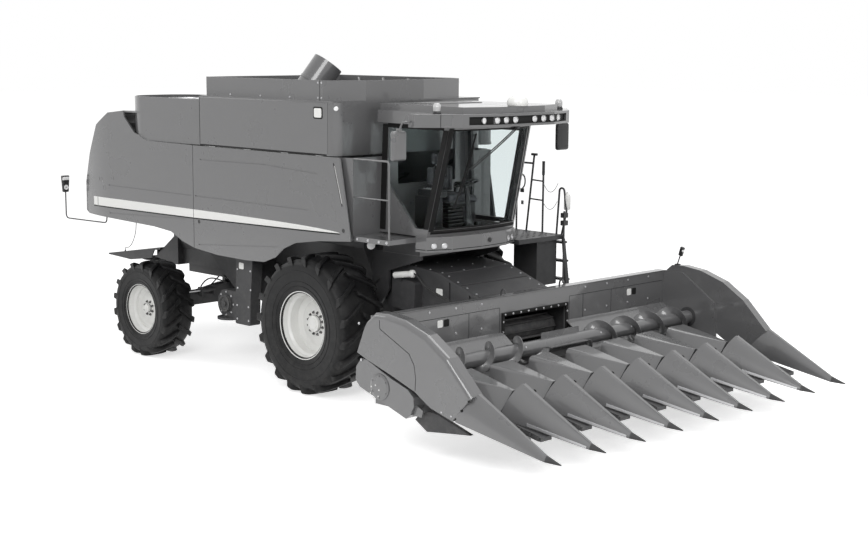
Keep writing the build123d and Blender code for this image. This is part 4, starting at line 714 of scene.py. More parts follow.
def side_details():
    """Marker plates, joint lines, latches, pads on the tail, a pale strip painted as a highlight near the front
    edge and a rolled front edge
    """
    for side, hand in SIDES:
        out, shield = (0, side, 0), f"side_shield_{hand}"

        def face(x, z, rise=0.0):
            return at(x, side * (BODY_HALF + rise), z)

        def seam(x0, x1, depth, rise, z0, z1, edge, rounds=1):
            return slab(x0, x1, side * (BODY_HALF - depth), side * (BODY_HALF + rise), z0, z1, edge, rounds)

        fitted(label(face(0.05, 4.145), 0.205, 0.175, out, 0.004), f"marker_frame_{hand}", "seal")
        fitted(label(face(0.05, 4.145, 0.004), 0.165, 0.135, out, 0.003), f"marker_plate_{hand}", "pale")
        fitted([seam(*limits) for limits in TANK_SEAMS], f"tank_seams_{hand}", "seal")
        fitted(seam(-2.84, 0.27, 0.022, 0.004, 4.282, 4.300, 0.003, 2), f"tank_rim_{hand}", "enamel")
        # pale bar painted as the highlight line down the front slope of the shield
        fitted(bar([face(0.405, 3.395, -0.010), face(0.565, 2.860, -0.010)], 0.008),
               f"shield_slot_strip_{hand}", "rim", shield)
        fitted(bar([face(x, z, -0.006) for x, z in ((0.532, 3.50), (0.650, 2.90), (0.748, 2.35))], 0.0075),
               f"shield_edge_roll_{hand}", "enamel", shield)
        for n, (x, z) in enumerate(((-2.90, 2.30), (0.60, 2.47))):
            fitted(turned(face(x, z), out, LATCH, 24), f"shield_latch_{n}_{hand}", "plastic", shield)
        pads = [turned(at(x, side * shield_y(x), z), out,
                       [(r, -0.006), (r, 0.002), (r - 0.006, 0.004), (r - 0.012, 0.0035), (r - 0.020, -0.001),
                        (0.006, -0.002)])
                for x, z, r in ((-5.64, 2.65, 0.050), (-5.38, 2.83, 0.042), (-5.76, 2.80, 0.050))]
        link = tube([at(x, side * (shield_y(x) - 0.001), z) for x, z in TAIL_LINK], 0.005)
        fitted(pads + [link], f"tail_pads_{hand}", "enamel")
        fitted(turned(at(0.395, side * 1.49, 4.215), (0.7, side * 0.71, 0), CORNER_LIGHT, 24),
               f"tank_corner_light_{hand}", "lens")


EXTENSION_HALF = 1.410                       # half width over the tank extension
# middle line of the extension's upper edge
EXTENSION_EDGE = [(-2.82, -EXTENSION_HALF), (0.01, -EXTENSION_HALF), (0.34, -0.87), (0.34, 0.31), (0.10, 1.33),
                  (-0.08, EXTENSION_HALF), (-2.82, EXTENSION_HALF)]
EDGE_INSET, EDGE_DROP, EDGE_RADIUS = 0.012, 0.009, 0.009


def tank_details():
    """Bolted joints, rolled edge, inner ribs and cross bars of the raised tank extension"""
    low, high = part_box("tank_extension")
    z0, z1 = low[2] + 0.018, high[2]
    bolts, bars = [], []
    for side in (1, -1):
        y = side * EXTENSION_HALF
        places = [(x, z) for x in (-0.10, -0.02) for z in (z0 + 0.035, z1 - 0.035)]
        places += [(x, z0 + 0.03) for x in (-2.2, -1.45, -0.75)]
        bolts += [(at(x, y, z), (0, side, 0)) for x, z in places]
        bars.append(slab(-0.064, -0.056, y - side * 0.002, y + side * 0.002, z0, z1, 0.0008, 1))
    fitted(bars, "extension_joint_lines", "seal")
    bolted(trim().bolt, bolts, "extension_bolts")
    edge = [at(x - math.copysign(EDGE_INSET, x), y - math.copysign(EDGE_INSET, y), z1 - EDGE_DROP)
            for x, y in EXTENSION_EDGE]
    fitted(tube(edge, EDGE_RADIUS, around=2, order=2, closed=True), "extension_rolled_edge", "enamel")
    outer, inner = EXTENSION_HALF - 0.022, EXTENSION_HALF - 0.045
    fitted([slab(x - 0.03, x + 0.03, side * inner, side * outer, z0, z1 - 0.03, 0.006)
            for side in (1, -1) for x in (-2.3, -1.7, -1.1, -0.5)], "extension_inner_ribs", "enamel")
    fitted([bar([at(x, -1.385, 4.40), at(x, 1.385, 4.40)], 0.022) for x in (-2.1, -0.45)],
           "tank_cross_bars", "enamel")


LOADING_FOOT, LOADING_MOUTH = Vector((-2.070, -1.073, 3.120)), Vector((-1.500, 0.0, 4.830))
FLIGHT_INNER, FLIGHT_OUTER, FLIGHT_PITCH, FLIGHT_STEPS, STEPS_A_TURN = 0.055, 0.226, 0.30, 44, 36


def loading_spiral():
    """Spiral flight at the open end of the loading tube, and its clamp band"""
    axis = (LOADING_MOUTH - LOADING_FOOT).normalized()
    flight = band_of(FLIGHT_STEPS)
    for vertex in flight.data.vertices:
        station, radius = round(vertex.co.x + 0.5), FLIGHT_OUTER if vertex.co.y > 0 else FLIGHT_INNER
        angle = 2 * math.pi * station / STEPS_A_TURN
        vertex.co = (radius * math.cos(angle), radius * math.sin(angle), FLIGHT_PITCH * station / STEPS_A_TURN)
    with_modifier(flight, "SOLIDIFY", thickness=0.006, offset=0)
    fitted(aimed(flight, at(*(LOADING_MOUTH - axis * 0.40)), axis), "loading_flight", "enamel")
    fitted(turned(at(*(LOADING_MOUTH - axis * 0.42)), axis,
                  [(0.251, 0), (0.256, 0.004), (0.256, 0.046), (0.251, 0.050)], 48), "loading_band", "enamel")


FAN_X, FAN_Y, FAN_BLADES = -3.95, -0.83, 8
# corners of a fan blade: out from the middle, round it, and up
BLADE = [(0.105, 0.04, 4.06), (0.395, 0.085, 4.05), (0.395, -0.085, 4.12), (0.105, -0.04, 4.12)]


def intake_details():
    """Fan blades, rings and guard bars of the cooling air intake"""
    blades, guard, middle = [], [], at(FAN_X, FAN_Y, 4.218)
    for angle in (2 * math.pi * i / FAN_BLADES for i in range(FAN_BLADES)):
        out = Vector((math.cos(angle), math.sin(angle), 0))
        aside = UP.cross(out)
        blades.append(plate([at(FAN_X, FAN_Y, z) + out * reach + aside * turn for reach, turn, z in BLADE],
                            (0, 0, 0.005), 0.0015))
    blades.append(turned(at(FAN_X, FAN_Y, 4.13), UP,
                         [(0.110, -0.01), (0.108, 0.012), (0.070, 0.030), (0.012, 0.034)]))
    fitted(blades, "fan_blades", "plastic")
    for radius in (0.10, 0.17, 0.24, 0.31, 0.38):
        guard.append(aimed(ring_bar(radius, 0.004), at(FAN_X, FAN_Y, 4.222), UP))
    for angle in (math.pi * i / 6 for i in range(6)):
        reach = Vector((math.cos(angle), math.sin(angle), 0)) * 0.418
        guard.append(tube([middle - reach, middle + reach], 0.004, 1, 2))
    fitted(guard, "fan_guard", "steel")


class HARVESTER_OT_stripes(bpy.types.Operator):
    """Lay the pale stripes along both sides"""
    bl_idname = "harvester.stripes"
    bl_label = "Side stripes"

    def execute(self, context):
        side_stripes()
        return {"FINISHED"}


class HARVESTER_OT_body(bpy.types.Operator):
    """Fit plates, joints, latches, a pale strip painted as a highlight, a rolled edge and bolts on the shields
    and the tank
    """
    bl_idname = "harvester.body"
    bl_label = "Shields and tank"

    def execute(self, context):
        for piece in (side_details, tank_details, loading_spiral, intake_details):
            piece()
        return {"FINISHED"}


# ---- cab ---------------------------------------------------------------------
CAB_FLOOR = 2.470
# windscreen: foot along the machine and its height, rise, lean, bow, half width at the foot and its taper
SCREEN_X, SCREEN_Z, SCREEN_RISE, SCREEN_LEAN, SCREEN_BOW, SCREEN_HALF, SCREEN_TAPER = (
    1.68, 2.42, 1.60, 0.39, 0.11, 0.91, 0.06)


def on_screen(y, z, clear=0.02):
    """Point on the bowed windscreen's outer face, or a little clear of it"""
    rise = (z - SCREEN_Z) / SCREEN_RISE
    half = SCREEN_HALF - SCREEN_TAPER * rise
    return at(SCREEN_X + SCREEN_LEAN * rise + SCREEN_BOW * (1 - (y / half) ** 2) + clear, y, z)


def wipers():
    """Paired wiper arms from the roof's left side, with the long blade hung at their end"""
    fitted([tube([on_screen(0.42 + s, 3.975, 0.035), on_screen(0.10 + s, 3.74, 0.045),
                  on_screen(-0.44 + s, 3.37, 0.030)], 0.009) for s in (0.0, 0.055)], "wiper_arms", "plastic")
    fitted([tube([on_screen(-0.40, 3.90), on_screen(-0.46, 3.37, 0.028), on_screen(-0.56, 2.80)], 0.013),
            tube([on_screen(-0.42, 3.72, 0.040), on_screen(-0.45, 3.37, 0.050), on_screen(-0.51, 3.02, 0.040)],
                 0.008)], "wiper_blade", "seal")
    fitted(turned(on_screen(0.44, 3.985, 0.0), FORWARD,
                  [(0.05, -0.01), (0.05, 0.03), (0.035, 0.045), (0.01, 0.048)]), "wiper_motor_cap", "plastic")


# padded pieces: rounding, steps and quality of the cloth solve, mesh size, inset as a share of the travel
PAD_EDGE, PAD_STEPS, PAD_QUALITY, PAD_VOXEL, PAD_INSET = 0.035, 16, 4, 0.009, 0.45


def pad_piece(name, low, high, push, cap):
    """Padded piece: a rounded block swollen by a cloth solve, with its travel capped"""
    inset = Vector((PAD_INSET * cap,) * 3)
    pad = block(at(*low) + inset, at(*high) - inset, PAD_EDGE, 4)
    with_modifier(pad, "REMESH", mode="VOXEL", voxel_size=PAD_VOXEL)
    start = [v.co.copy() for v in pad.data.vertices]
    scene = bpy.context.scene
    only(pad)
    cloth = pad.modifiers.new("stuffing", "CLOTH")
    cloth.settings.use_pressure = True
    cloth.settings.uniform_pressure_force = push
    cloth.settings.effector_weights.gravity = 0
    cloth.settings.quality = PAD_QUALITY
    cloth.point_cache.frame_start, cloth.point_cache.frame_end = 1, PAD_STEPS
    for moment in range(1, PAD_STEPS + 1):
        scene.frame_set(moment)
    bpy.ops.object.modifier_apply(modifier="stuffing")
    scene.frame_set(1)
    for vertex, old in zip(pad.data.vertices, start):
        move = vertex.co - old
        if move.length > cap:
            vertex.co = old + move * (cap / move.length)
    with_modifier(pad, "SMOOTH", factor=0.5, iterations=3)
    fitted(pad, name, "fabric", smooth=60)
    return pad


# padded pieces: name, low corner, high corner, pressure, cap on the travel
SEAT_PADS = [
    ("seat_cushion", (0.99, -0.25, 2.845), (1.48, 0.25, 2.965), 4.0, 0.012),
    ("seat_back", (0.965, -0.25, 2.965), (1.08, 0.25, 3.36), 4.0, 0.012),
    ("seat_head_rest", (0.965, -0.15, 3.375), (1.06, 0.15, 3.555), 3.0, 0.010),
]
PASSENGER_PAD = ("passenger_seat", (0.88, 0.33, 2.78), (1.20, 0.66, 2.88), 3.0, 0.010)


def seat():
    """Driver's seat: padded cushion and back, sewn piping, arm rests and a bellows base"""
    cushion, *_ = [pad_piece(*pad) for pad in SEAT_PADS]
    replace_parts(cushion, "cab_seat")
    piping = []
    for y in (-0.13, 0.13):
        for line in (((1.03, y, 2.970), (1.25, y, 2.974), (1.44, y, 2.966)),
                     ((1.085, y, 3.00), (1.090, y, 3.17), (1.084, y, 3.33))):
            piping.append(tube(path(line), 0.004, around=2))
    fitted(piping, "seat_piping", "seal")
    bellows = [slab(1.115, 1.365, -0.155, 0.155, z, z + 0.045, 0.018, 3)
               for z in (2.535 + 0.052 * k for k in range(5))]
    fitted([slab(1.02, 1.44, -0.20, 0.20, 2.80, 2.848, 0.012, 3),
            slab(1.08, 1.40, -0.19, 0.19, CAB_FLOOR, 2.53, 0.012, 3)] + bellows, "seat_suspension", "plastic")
    fitted([slab(1.06, 1.38, s * 0.262, s * 0.335, 3.06, 3.11, 0.018, 3) for s in (1, -1)]
           + [slab(1.04, 1.09, s * 0.268, s * 0.322, 2.90, 3.08, 0.01, 2) for s in (1, -1)],
           "seat_arm_rests", "plastic")
    fitted([bar([at(1.01, y, 3.33), at(1.01, y, 3.40)], 0.007) for y in (-0.07, 0.07)],
           "head_rest_posts", "steel")


def controls():
    """Steering wheel, column, pedals, side console with screen and lever, and the passenger seat"""
    hub, lean = at(1.565, 0, 3.135), Vector((-0.342, 0, 0.94)).normalized()
    across = Vector((0, 1, 0))
    along = across.cross(lean).normalized()
    wheel = [aimed(ring_bar(0.178, 0.015, 48, 12), hub, lean),
             turned(hub - lean * 0.06, lean, [(0.055, 0), (0.06, 0.03), (0.045, 0.052), (0.010, 0.056)])]
    for angle in (90, 210, 330):
        out = along * math.cos(math.radians(angle)) + across * math.sin(math.radians(angle))
        wheel.append(tube([hub - lean * 0.03, hub - lean * 0.018 + out * 0.09, hub + out * 0.172], 0.010))
    fitted(wheel, "steering_wheel", "plastic", smooth=50)
    fitted([turned(at(1.63, 0, CAB_FLOOR + 0.045), (-0.092, 0, 1),
                   [(0.075, 0), (0.060, 0.05), (0.040, 0.16), (0.036, 0.60)]),
            slab(1.55, 1.70, -0.07, 0.07, CAB_FLOOR, CAB_FLOOR + 0.06, 0.012, 3),
            slab(1.66, 1.74, -0.15, -0.08, CAB_FLOOR, CAB_FLOOR + 0.10, 0.008),
            slab(1.66, 1.74, 0.08, 0.15, CAB_FLOOR, CAB_FLOOR + 0.10, 0.008)], "steering_column", "plastic")
    console = fitted([slab(0.98, 1.40, -0.485, -0.300, CAB_FLOOR, 2.95, 0.02, 3),
                      slab(1.02, 1.50, -0.475, -0.310, 2.935, 3.045, 0.03, 4),
                      tube([at(1.47, -0.42, 3.02), at(1.52, -0.46, 3.15), at(1.52, -0.47, 3.26)], 0.012)],
                     "side_console", "plastic")
    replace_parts(console, "cab_controls")
    fitted([slab(1.50, 1.535, -0.60, -0.36, 3.24, 3.42, 0.012, 3),
            bar([at(1.38, -0.36, 3.04), at(1.40, -0.36, 3.12)], 0.010),
            turned(at(1.40, -0.36, 3.11), (0.15, 0, 1),
                   [(0.018, 0), (0.030, 0.02), (0.032, 0.07), (0.022, 0.10), (0.006, 0.105)])],
           "console_screen_and_lever", "seal")
    knob = turned(ORIGIN, UP, [(0.012, 0), (0.012, 0.012), (0.009, 0.016), (0.003, 0.017)], 12)
    places = [at(1.12 + 0.045 * i, -0.42 + 0.06 * j, 3.044) for i in range(4) for j in range(2)]
    fitted(copies(knob, [(place, UP) for place in places]), "console_knobs", "steel")
    pad_piece(*PASSENGER_PAD)
    fitted(slab(0.90, 1.16, 0.36, 0.63, CAB_FLOOR, 2.785, 0.015, 3), "passenger_seat_box", "plastic")


def mirrors():
    """Rounded mirror heads on bent arms, with silvered faces that look back"""
    for s, hand in SIDES:
        arm = tube([at(2.05, s * 1.585, 4.10), at(2.05, s * 1.70, 4.10), at(1.99, s * 1.70, 4.09),
                    at(1.935, s * 1.70, 3.96)], 0.013)
        # the left head is painted black as shade and the right one in lighter enamel as lit: two copies of one
        # mirror head
        shell = fitted([slab(1.892, 1.968, s * 1.575, s * 1.838, 3.562, 3.972, 0.036, 5), arm,
                        slab(1.905, 1.965, s * 1.67, s * 1.73, 3.955, 4.005, 0.008)],
                       f"mirror_{hand}", "plastic" if s > 0 else "enamel", smooth=45)
        if s > 0:
            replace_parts(shell, "mirrors")
        fitted(label(at(1.892, s * 1.706, 3.767), 0.215, 0.36, (-1, 0, 0), 0.002),
               f"mirror_face_{hand}", "mirror")


VISOR_EDGE = [(2.11, 1.588), (2.555, 1.122), (2.737, 0.592)]
LAMP_LENS = [(0.040, 0), (0.047, 0.045), (0.044, 0.052), (0.026, 0.058), (0.004, 0.060)]
LAMP_RING = [(0.0515, 0.0), (0.0515, 0.012), (0.0475, 0.014), (0.046, 0.004)]
BEACON_DOME = [(0.052, 0.040), (0.056, 0.075), (0.054, 0.110), (0.044, 0.138), (0.024, 0.149), (0.004, 0.150)]
BEACON_FOOT = [(0.060, 0.0), (0.060, 0.018), (0.050, 0.030), (0.050, 0.042), (0.004, 0.042)]
RECEIVER = [(0.135, 0), (0.148, 0.012), (0.150, 0.050), (0.142, 0.090), (0.120, 0.122), (0.080, 0.137),
            (0.010, 0.140)]


def roof():
    """Work lamps in their recess, beacons, receiver dome, vents and the visor's edge and joints"""
    places = [(2.706 - max(0.0, y - 0.59) * 0.34, s * y) for s in (1, -1) for y in (0.20, 0.39, 0.57, 0.76)]
    lenses = fitted([turned(at(x - 0.050, y, 4.11), FORWARD, LAMP_LENS) for x, y in places],
                    "roof_lamp_lenses", "lens")
    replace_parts(lenses, "roof_lamps")
    fitted([turned(at(x - 0.004, y, 4.11), FORWARD, LAMP_RING) for x, y in places], "roof_lamp_rings", "steel")
    fitted([bar([at(2.585, -1.0, z), at(2.742, -0.585, z), at(2.742, 0.585, z), at(2.585, 1.0, z)], 0.004)
            for z in (4.058, 4.160)], "lamp_recess_edges", "seal")
    fitted([slab(2.7050, 2.7070, -0.585, 0.585, 4.060, 4.160, 0.0008, 1)]
           + [plate([at(2.7055, s * 0.585, 4.060), at(2.566, s * 0.998, 4.060), at(2.566, s * 0.998, 4.160),
                     at(2.7055, s * 0.585, 4.160)], (0.002, 0, 0), 0.0004) for s in (1, -1)],
           "lamp_recess_back", "seal")
    for name, finish, rings, smooth in (("beacon_domes", "amber", BEACON_DOME, 60),
                                        ("beacon_feet", "plastic", BEACON_FOOT, 32)):
        fitted([turned(at(2.230, s * 1.270, 4.200), UP, rings) for s in (1, -1)], name, finish, smooth=smooth)
    fitted(turned(at(2.560, 0, 4.290), UP, RECEIVER, 48), "receiver_dome", "rim", smooth=60)
    fitted([slab(0.95 + 0.10 * k, 1.00 + 0.10 * k, -0.50, 0.50, 4.288, 4.300) for k in range(5)],
           "roof_vents", "enamel")
    fitted([bar([at(x, s * y, 4.197) for x, y in VISOR_EDGE], 0.006) for s in (1, -1)]
           + [bar([at(2.737, -0.592, 4.197), at(2.737, 0.592, 4.197)], 0.006)], "visor_edge_bead", "enamel")
    fitted([slab(2.36, 2.366, s * 1.10, s * 1.33, 4.022, 4.198, 0.001, 1) for s in (1, -1)],
           "visor_joints", "seal")


FASCIA_RING = [(0.043, -0.004), (0.043, 0.006), (0.038, 0.010), (0.035, 0.002), (0.012, 0.006)]


def fascia():
    """Lamp rings, a blank badge plate and the joint line of the panel below the windscreen"""
    fitted([turned(at(1.686328 + share * 0.160, s * (0.928412 - share * 0.370), 2.290), (0.918, s * 0.397, 0),
                   FASCIA_RING) for s in (1, -1) for share in (0.3, 0.7)], "fascia_lamp_rings", "steel")
    fitted(turned(at(1.8935, 0.18, 2.315), (0.996, 0.083, 0),
                  [(0.034, 0), (0.034, 0.004), (0.028, 0.006), (0.004, 0.006)]),
           "fascia_blank_badge", "plastic")
    half = [(1.48, 0.9405), (1.69, 0.9305), (1.85, 0.5605)]
    line = [(x, -y) for x, y in half] + [(1.9, 0)] + half[::-1]
    fitted(bar([at(x, y, 2.235) for x, y in line], 0.005), "fascia_joint_bead", "seal")


# dark plates painted on the right pillars as their shade: four corners and the thickness
RIGHT_PILLAR_PAINTED_SHADE = [
    ([(1.603, -0.9055, 2.53), (1.704, -0.9055, 2.53), (2.050, -0.8530, 3.95), (1.953, -0.8530, 3.95)], 0.007),
    ([(0.702, -0.9085, 2.46), (0.815, -0.9085, 2.46), (0.815, -0.8520, 3.99), (0.702, -0.8520, 3.99)], 0.008),
    ([(0.815, -0.8545, 3.945), (1.953, -0.8545, 3.945), (1.960, -0.8520, 4.005), (0.815, -0.8520, 4.005)],
     0.007),
]


def cab_outside():
    """Seals round the glass, dark plates painted on the right pillars as shade, dark sheets painted on the
    cab's plinth as shade, and the door's handle and lock
    """
    seals = [bar([on_screen(s * 0.86, 2.55, -0.004), on_screen(s * 0.80, 3.94, -0.004)], 0.012)
             for s in (1, -1)]
    for half, z, clear, radius in ((0.839, 2.53, -0.002, 0.012), (0.7917, 3.95, -0.002, 0.012),
                                   (0.86, 2.488, -0.022, 0.036)):
        seals.append(tube([on_screen(half * k / 6, z, clear) for k in range(-6, 7)], radius))
    fitted(seals, "windscreen_seal", "seal")
    # dark plate painted as shade on the windscreen's right pillar
    corner = [on_screen(y, z, 0.0) for y, z in ((-0.903, 2.50), (-0.822, 2.50), (-0.772, 3.98), (-0.850, 3.98))]
    fitted([plate(corner, (0.006, 0, 0), 0.001)]
           + [plate(path(corners), (0, -thick, 0), 0.001)
              for corners, thick in RIGHT_PILLAR_PAINTED_SHADE], "pillar_covers", "seal")
    # dark sheets painted on the sides of the cab's plinth as the shade under the cab
    fitted([slab(0.705, 1.475, s * 0.8505, s * 0.8535, 2.125, 2.415, 0.001, 1) for s in (1, -1)],
           "cab_skirts", "chassis")
    front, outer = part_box("cab_door")[1][:2]
    grip = [(0.12, -0.004, 3.02), (0.10, 0.035, 3.05), (0.10, 0.035, 3.20), (0.12, -0.004, 3.23)]
    fitted([tube([Vector((front - back, outer + out, z)) for back, out, z in grip], 0.011),
            block((front - 0.15, outer - 0.02, 2.96), (front - 0.085, outer + 0.004, 3.02), 0.006)],
           "door_handle", "plastic", "cab_door")
    fitted(block((front - 0.13, outer - 0.02, 2.78), (front - 0.08, outer + 0.003, 2.84), 0.006),
           "door_lock", "steel", "cab_door")


class HARVESTER_OT_seat(bpy.types.Operator):
    """Make the padded driver's seat and set it on its suspension"""
    bl_idname = "harvester.seat"
    bl_label = "Driver's seat"

    def execute(self, context):
        seat()
        return {"FINISHED"}


class HARVESTER_OT_controls(bpy.types.Operator):
    """Fit the steering wheel, column, console and passenger seat"""
    bl_idname = "harvester.controls"
    bl_label = "Cab controls"

    def execute(self, context):
        controls()
        return {"FINISHED"}


class HARVESTER_OT_cab(bpy.types.Operator):
    """Fit wipers, mirrors, roof lamps, beacons, seals and the door handle"""
    bl_idname = "harvester.cab"
    bl_label = "Cab outside"

    def execute(self, context):
        for piece in (wipers, mirrors, roof, fascia, cab_outside):
            piece()
        return {"FINISHED"}


# ---- header ------------------------------------------------------------------
ROW_SPACING = 0.762
SNOUT_FOOT_Z = 0.610                         # foot of a divider at its rear end
SHEET_X = 2.950                              # front face of the header's back sheet
BOLT_X = SHEET_X + 0.021
DRUM_AT, DRUM_SLATS = (2.60, 0, 1.10), 8     # middle of the feed drum, slats round it


def mouth():
    """Dark frame with its bolts and the slatted feed drum behind the mouth"""
    frame_bars = ((-0.70, 0.70, 1.415, 1.465), (-0.70, -0.655, 0.78, 1.42), (0.655, 0.70, 0.78, 1.42))
    fitted([slab(SHEET_X, SHEET_X + 0.022, *limits) for limits in frame_bars], "mouth_frame", "seal", "header")
    places = row_of(at(BOLT_X, -0.64, 1.44), at(BOLT_X, 0.64, 1.44), 9)
    for y in (-0.678, 0.678):
        places += row_of(at(BOLT_X, y, 0.90), at(BOLT_X, y, 1.34), 4)
    bolted(0.010, [(place, FORWARD) for place in places], "mouth_bolts", body="header")
    x, _, z = DRUM_AT
    drum = [turned(at(x, -0.675, z), (0, 1, 0), [(0.130, 0), (0.150, 0.01), (0.150, 1.34), (0.130, 1.35)], 40)]
    for k in range(DRUM_SLATS):
        angle = 2 * math.pi * k / DRUM_SLATS
        out = Vector((math.cos(angle), 0, math.sin(angle)))
        aside = Vector((-math.sin(angle), 0, math.cos(angle)))
        foot = at(*DRUM_AT) + out * 0.148 + Vector((0, -0.66, 0))
        drum.append(plate([foot + aside * 0.012, foot - aside * 0.012, foot - aside * 0.006 + out * 0.030,
                           foot + aside * 0.006 + out * 0.030], (0, 1.32, 0), 0.003))
    fitted(drum, "feed_drum", "iron", "header")


def header_sheet():
    """Pressed lines, blank plates, hooks and bolts on the back sheet and its top beam"""
    front = SHEET_X + 0.003
    lines = [slab(SHEET_X, front, y0, y1, 1.542, 1.548, 0.001, 1) for y0, y1 in ((-2.95, -0.74), (0.74, 2.95))]
    lines += [slab(SHEET_X, front, y - 0.003, y + 0.003, 1.20, 1.545, 0.001, 1)
              for y in (-1.35, -0.74, 0.74, 1.05, 1.70)]
    fitted(lines, "header_sheet_lines", "seal", "header")
    for n, y, z in ((0, -1.90, 1.465), (1, 2.13, 1.452)):
        for name, finish, shift in (("header_plate", "pale", 0), ("header_plate_dark", "seal", 0.12)):
            fitted(label(at(SHEET_X, y + shift, z), 0.10, 0.10, FORWARD), f"{name}_{n}", finish, "header")
    bolts = [(at(SHEET_X, s * y, z), FORWARD) for s in (1, -1) for y in (1.1, 1.6, 2.1, 2.6)
             for z in (1.30, 1.64)]
    bolted(0.011, bolts, "header_sheet_bolts", body="header")
    fitted(bar([at(2.955, -3.0, 1.695), at(2.955, 3.0, 1.695)], 0.006), "header_top_bead", "enamel", "header")
    hook = ((2.86, 1.70), (2.86, 1.78), (2.93, 1.80), (2.95, 1.72))
    fitted([tube([at(x, y, z) for x, z in hook], 0.013) for y in (-0.62, 0.62)],
           "header_lift_hooks", "chassis", "header")


def snout_point(row, x, share, side, clear=0.0):
    """Point on a divider's bulging side: share 0 at its foot, 1 at its ridge"""
    t = (x - 4.670) / 1.230
    foot, flat = 0.290 - 0.240 * t, 0.030 - 0.018 * t
    low, top = SNOUT_FOOT_Z + (0.400 - SNOUT_FOOT_Z) * t, 1.083 - 0.613 * t
    bulge = (0.036 - 0.030 * t) * 4 * share * (1 - share) + clear
    up, across = foot - flat, top - low
    size = math.hypot(up, across)
    out = foot + (flat - foot) * share + bulge * across / size
    return at(x, row * ROW_SPACING + side * out, low + (top - low) * share + bulge * up / size)


FOLD_X = (5.20, 5.55, 5.88)


def snout_details():
    """Bare wear strips, ridge folds and hinge clips of the dividers"""
    strips, folds, clips = [], [], []
    for row in range(-3, 4):
        for side in (1, -1):
            lower = [snout_point(row, x, 0.03, side, 0.002) for x in (5.05, 5.86)]
            upper = [snout_point(row, x, 0.03 + rise, side, 0.002) for x, rise in ((5.86, 0.28), (5.05, 0.09))]
            strips.append(plate(lower + upper, (0, side * 0.004, 0.002), 0.001))
            folds.append(tube([snout_point(row, x, 0.965, side, -0.001) for x in (4.84, *FOLD_X)], 0.006))
        folds.append(tube([snout_point(row, x, 0.80, 1, -0.001) for x in (4.86, *FOLD_X)], 0.006))
        clips.append((snout_point(row, 4.90, 0.84, 1, -0.004), (0.15, 0.75, 0.62)))
    fitted(strips, "snout_wear_strips", "steel", "header")
    fitted(folds, "snout_ridge_folds", "enamel", "header")
    bolted(0.022, clips, "snout_hinge_clips", "seal", "header", height=0.034)


END_Y = 3.2125                               # outer face of the header's end shields
# bolts of an end shield: name, radius, finish, places along the machine and up
END_BOLTS = [
    ("end_joint_bolts", 0.014, "seal", ((4.760, 0.935), (4.640, 0.800), (4.545, 0.680))),
    ("end_shield_bolts", 0.012, "steel", ((4.47, 0.70), (4.30, 0.72), (2.84, 1.15), (2.80, 1.62))),
]


def end_details():
    """Joint and shield bolts, a blank oval badge and the cover's ring of bolts, on both ends"""
    for s, hand in SIDES:
        out = (0, s, 0)
        for name, size, finish, places in END_BOLTS:
            bolted(size, [(at(x, s * END_Y, z), out) for x, z in places], f"{name}_{hand}", finish, "header")
        oval = turned(ORIGIN, UP, [(0.060, 0), (0.060, 0.003), (0.054, 0.005), (0.004, 0.005)], 40)
        oval.scale = (0.95, 1.25, 1)
        settle(oval)
        fitted(aimed(oval, at(3.087, s * END_Y, 1.442), out), f"end_blank_badge_{hand}", "plastic", "header")
        ring = [(at(3.10 + 0.085 * math.cos(a), s * (END_Y + 0.0055), 0.78 + 0.085 * math.sin(a)), out)
                for a in [math.radians(60 * k + 20) for k in range(6)]]
        bolted(0.008, ring, f"cover_ring_bolts_{hand}", "rim", "header", height=0.004)


AUGER_X, AUGER_Z = 3.42, 1.03


def auger_details():
    """End bearings and the joint bolts along the auger tube"""
    fitted([turned(at(AUGER_X, s * 2.991, AUGER_Z), (0, -s, 0),
                   [(0.150, 0), (0.150, 0.006), (0.095, 0.010), (0.090, 0.030), (0.004, 0.030)], 40)
            for s in (1, -1)], "auger_bearings", "chassis", "header")
    screws = []
    for y in (-2.2, -1.5, -0.8, 0.8, 1.5, 2.2):
        for angle in (math.radians(120 * k + 30) for k in range(3)):
            out = Vector((math.cos(angle), 0, math.sin(angle)))
            screws.append((at(AUGER_X, y, AUGER_Z) + out * 0.0995, out))
    bolted(0.009, screws, "auger_tube_bolts", body="cross_auger")


def header_lamp():
    """Position lamp on its bent stalk at the header's left end"""
    base, foot = at(3.118, 3.10, 1.795), at(3.172, 3.10, 1.935)
    stalk = tube([base, base + Vector((0.02, 0, 0.05)), at(3.155, 3.10, 1.90), at(3.175, 3.10, 1.95)], 0.010)
    lean, face = Vector((0.30, 0, 0.95)).normalized(), Vector((0.95, 0, -0.30)).normalized()
    housing = block((-0.024, -0.034, 0), (0.024, 0.034, 0.145), 0.014, 3)
    with editing(housing):
        pick(housing, "verts", lambda v: v.co.z > 0.10)
        bpy.ops.transform.resize(value=(1.15, 1.0, 1.0))
    housing.matrix_world = Matrix.Translation(foot) @ lean.to_track_quat("Z", "Y").to_matrix().to_4x4()
    shell = fitted([stalk, slab(3.09, 3.16, 3.068, 3.132, 1.792, 1.806), settle(housing)],
                   "header_lamp_stalk", "plastic", "header", smooth=45)
    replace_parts(shell, "header_lamp")
    fitted([turned(foot + lean * 0.095 + face * 0.020, face,
                   [(0.030, 0), (0.030, 0.008), (0.022, 0.014), (0.004, 0.016)], 28),
            turned(foot + lean * 0.035 + face * 0.018, face,
                   [(0.020, 0), (0.020, 0.008), (0.014, 0.012), (0.003, 0.013)], 24)],
           "header_lamp_lenses", "lens", "header")


